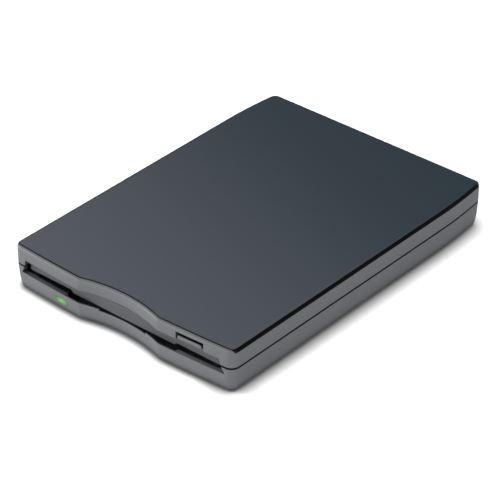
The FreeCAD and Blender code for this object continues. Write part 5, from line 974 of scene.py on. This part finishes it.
class DRIVE_OT_boards(Operator):
    """Finish the boards, what is soldered to them, and the cables between them."""
    bl_idname = "drive.boards"
    bl_label = "Boards and Cables"

    def execute(self, context):
        tints = context.scene.drive_board
        dress(masked_board(tints.mask, tints.track), "main_board", "interface_board")
        dress(eroded_plastic("moulded_epoxy", tints.epoxy, 0.12 * MM, 0.004 * MM, 0.5), "board_chips",
              "interface_chips", "index_sensor")
        dress(eroded_plastic("moulded_nylon", tints.white, 0.4 * MM, 0.004 * MM, 0.38), "board_connector",
              "flex_connector", "interface_connector", "cable_header", "disk_plunger", "protect_plunger",
              "density_plunger")
        dress(eroded_plastic("clear_epoxy_body", linear("#dfe3d6"), 0.5 * MM, 0.002 * MM, 0.2), "led_chip")
        dress(rolled_sheet("nickel_plated_can", linear("#c1c3c5"), 0.2, 0.0), "interface_crystal")
        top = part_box("interface_capacitors")[1].z
        dress(sleeved_can(linear("#1c2431"), top), "interface_capacitors")
        film = striped_film("polyimide_film", tints.film, linear("#c07a3a"), 0.5 * MM, 0.3)
        strip = merged("flex_strip", "head_flex")
        strip.data.set_sharp_from_angle(angle=SHARP)
        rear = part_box("head_flex")[1].y
        bend = 1.4 * MM
        settle(strip, film, "head_flex", "carriage",
               ((0.0, rear, 0.0), (0.0, rear - bend, 0.0)))
        dress(striped_film("ribbon_cable", tints.ribbon, linear("#a7aaad"), 1.0 * MM, 0.45), "flat_cable")
        return {"FINISHED"}


class DRIVE_OT_stage(Operator):
    """Lay the floor, light the room, hang the lamps and set up the camera."""
    bl_idname = "drive.stage"
    bl_label = "Studio"

    def execute(self, context):
        scene = context.scene
        stage = scene.drive_stage
        corners = [(x * FLOOR_HALF, y * FLOOR_HALF, 0) for x, y in ((-1, -1), (1, -1), (1, 1), (-1, 1))]
        mesh = bpy.data.meshes.new("floor")
        mesh.from_pydata(corners, [], [(0, 1, 2, 3)])
        mesh.materials.append(white_paper(stage))
        floor = linked("floor", mesh)
        scene.world = studio_world(stage)
        scene.view_settings.view_transform = "Standard"

        for name, power, place, width in (
                ("left", stage.left, (-0.82, -0.47, 0.08), 0.4),
                ("front", stage.front, (0.0, -0.9, 0.16), 0.4),
                ("side", stage.side, (0.9, -0.1, 0.3), 0.5),
                ("rear", stage.rear, (0.15, 0.9, 0.2), 0.5)):
            lamp = bpy.data.lights.new(name, "AREA")
            lamp.shape = "DISK"
            lamp.size = width
            lamp.energy = power
            self.hang(name, lamp, Vector(place), -Vector(place))

        # The camera stands back along a direction and aims a little past the drive's middle.
        flat = math.cos(stage.elevation)
        back = Vector((math.sin(stage.azimuth) * flat, -math.cos(stage.azimuth) * flat,
                       math.sin(stage.elevation)))
        right = Vector((math.cos(stage.azimuth), math.sin(stage.azimuth), 0))
        aim = right * -1.34 * MM + back.cross(right) * 1.56 * MM + Vector((0, 0.83 * MM, 0))
        data = bpy.data.cameras.new("camera")
        data.lens = stage.focal
        data.sensor_width = 36.0
        data.clip_start, data.clip_end = 0.05, 20.0
        scene.camera = self.hang("camera", data, back * stage.distance + aim, -back)
        return {"FINISHED"}

    def hang(self, name, data, place, way):
        """Put a lamp or a camera at a place, looking along a direction."""
        thing = linked(name, data)
        thing.location = place
        thing.rotation_mode = "QUATERNION"
        thing.rotation_quaternion = way.to_track_quat("-Z", "Y")
        return thing


class DRIVE_PT_looks(Panel):
    """Lists the drive's pieces and their settings."""
    bl_idname = "DRIVE_PT_looks"
    bl_label = "Drive Looks"
    bl_space_type = "VIEW_3D"
    bl_region_type = "UI"
    bl_category = "Drive"

    def draw(self, context):
        for operator in OPERATORS:
            self.layout.operator(operator.bl_idname)
        for name, group in SETTINGS.items():
            box = self.layout.box()
            box.label(text=name.replace("drive_", "").capitalize())
            for key in group.__annotations__:
                box.prop(getattr(context.scene, name), key)


SETTINGS = {
    "drive_shells": ShellSettings,
    "drive_panel": PanelSettings,
    "drive_button": ButtonSettings,
    "drive_flap": FlapSettings,
    "drive_light": LightSettings,
    "drive_rubber": RubberSettings,
    "drive_metal": MetalSettings,
    "drive_board": BoardSettings,
    "drive_stage": StageSettings,
}
OPERATORS = (DRIVE_OT_shells, DRIVE_OT_panel, DRIVE_OT_button, DRIVE_OT_flap, DRIVE_OT_light,
             DRIVE_OT_rubber, DRIVE_OT_sheet, DRIVE_OT_fasteners, DRIVE_OT_motors, DRIVE_OT_heads,
             DRIVE_OT_boards, DRIVE_OT_stage)


def register():
    for kind in (*SETTINGS.values(), *OPERATORS, DRIVE_PT_looks):
        bpy.utils.register_class(kind)
    for name, group in SETTINGS.items():
        setattr(bpy.types.Scene, name, PointerProperty(type=group))


def unregister():
    for name in SETTINGS:
        delattr(bpy.types.Scene, name)
    for kind in reversed((*SETTINGS.values(), *OPERATORS, DRIVE_PT_looks)):
        bpy.utils.unregister_class(kind)


def main():
    """Register the add-on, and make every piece."""
    register()
    for operator in OPERATORS:
        group, name = operator.bl_idname.split(".")
        getattr(getattr(bpy.ops, group), name)()
    slots = [row.get("slot") for row in frame["record"]["materials"]]
    for name, node in NODES.items():
        worn = node.data.materials[0] if node.data.materials else None
        if not worn or not worn.use_nodes or worn.name.split(".")[0] in slots:
            raise RuntimeError(f"{name} has no finish")


if __name__ == "__main__":
    main()
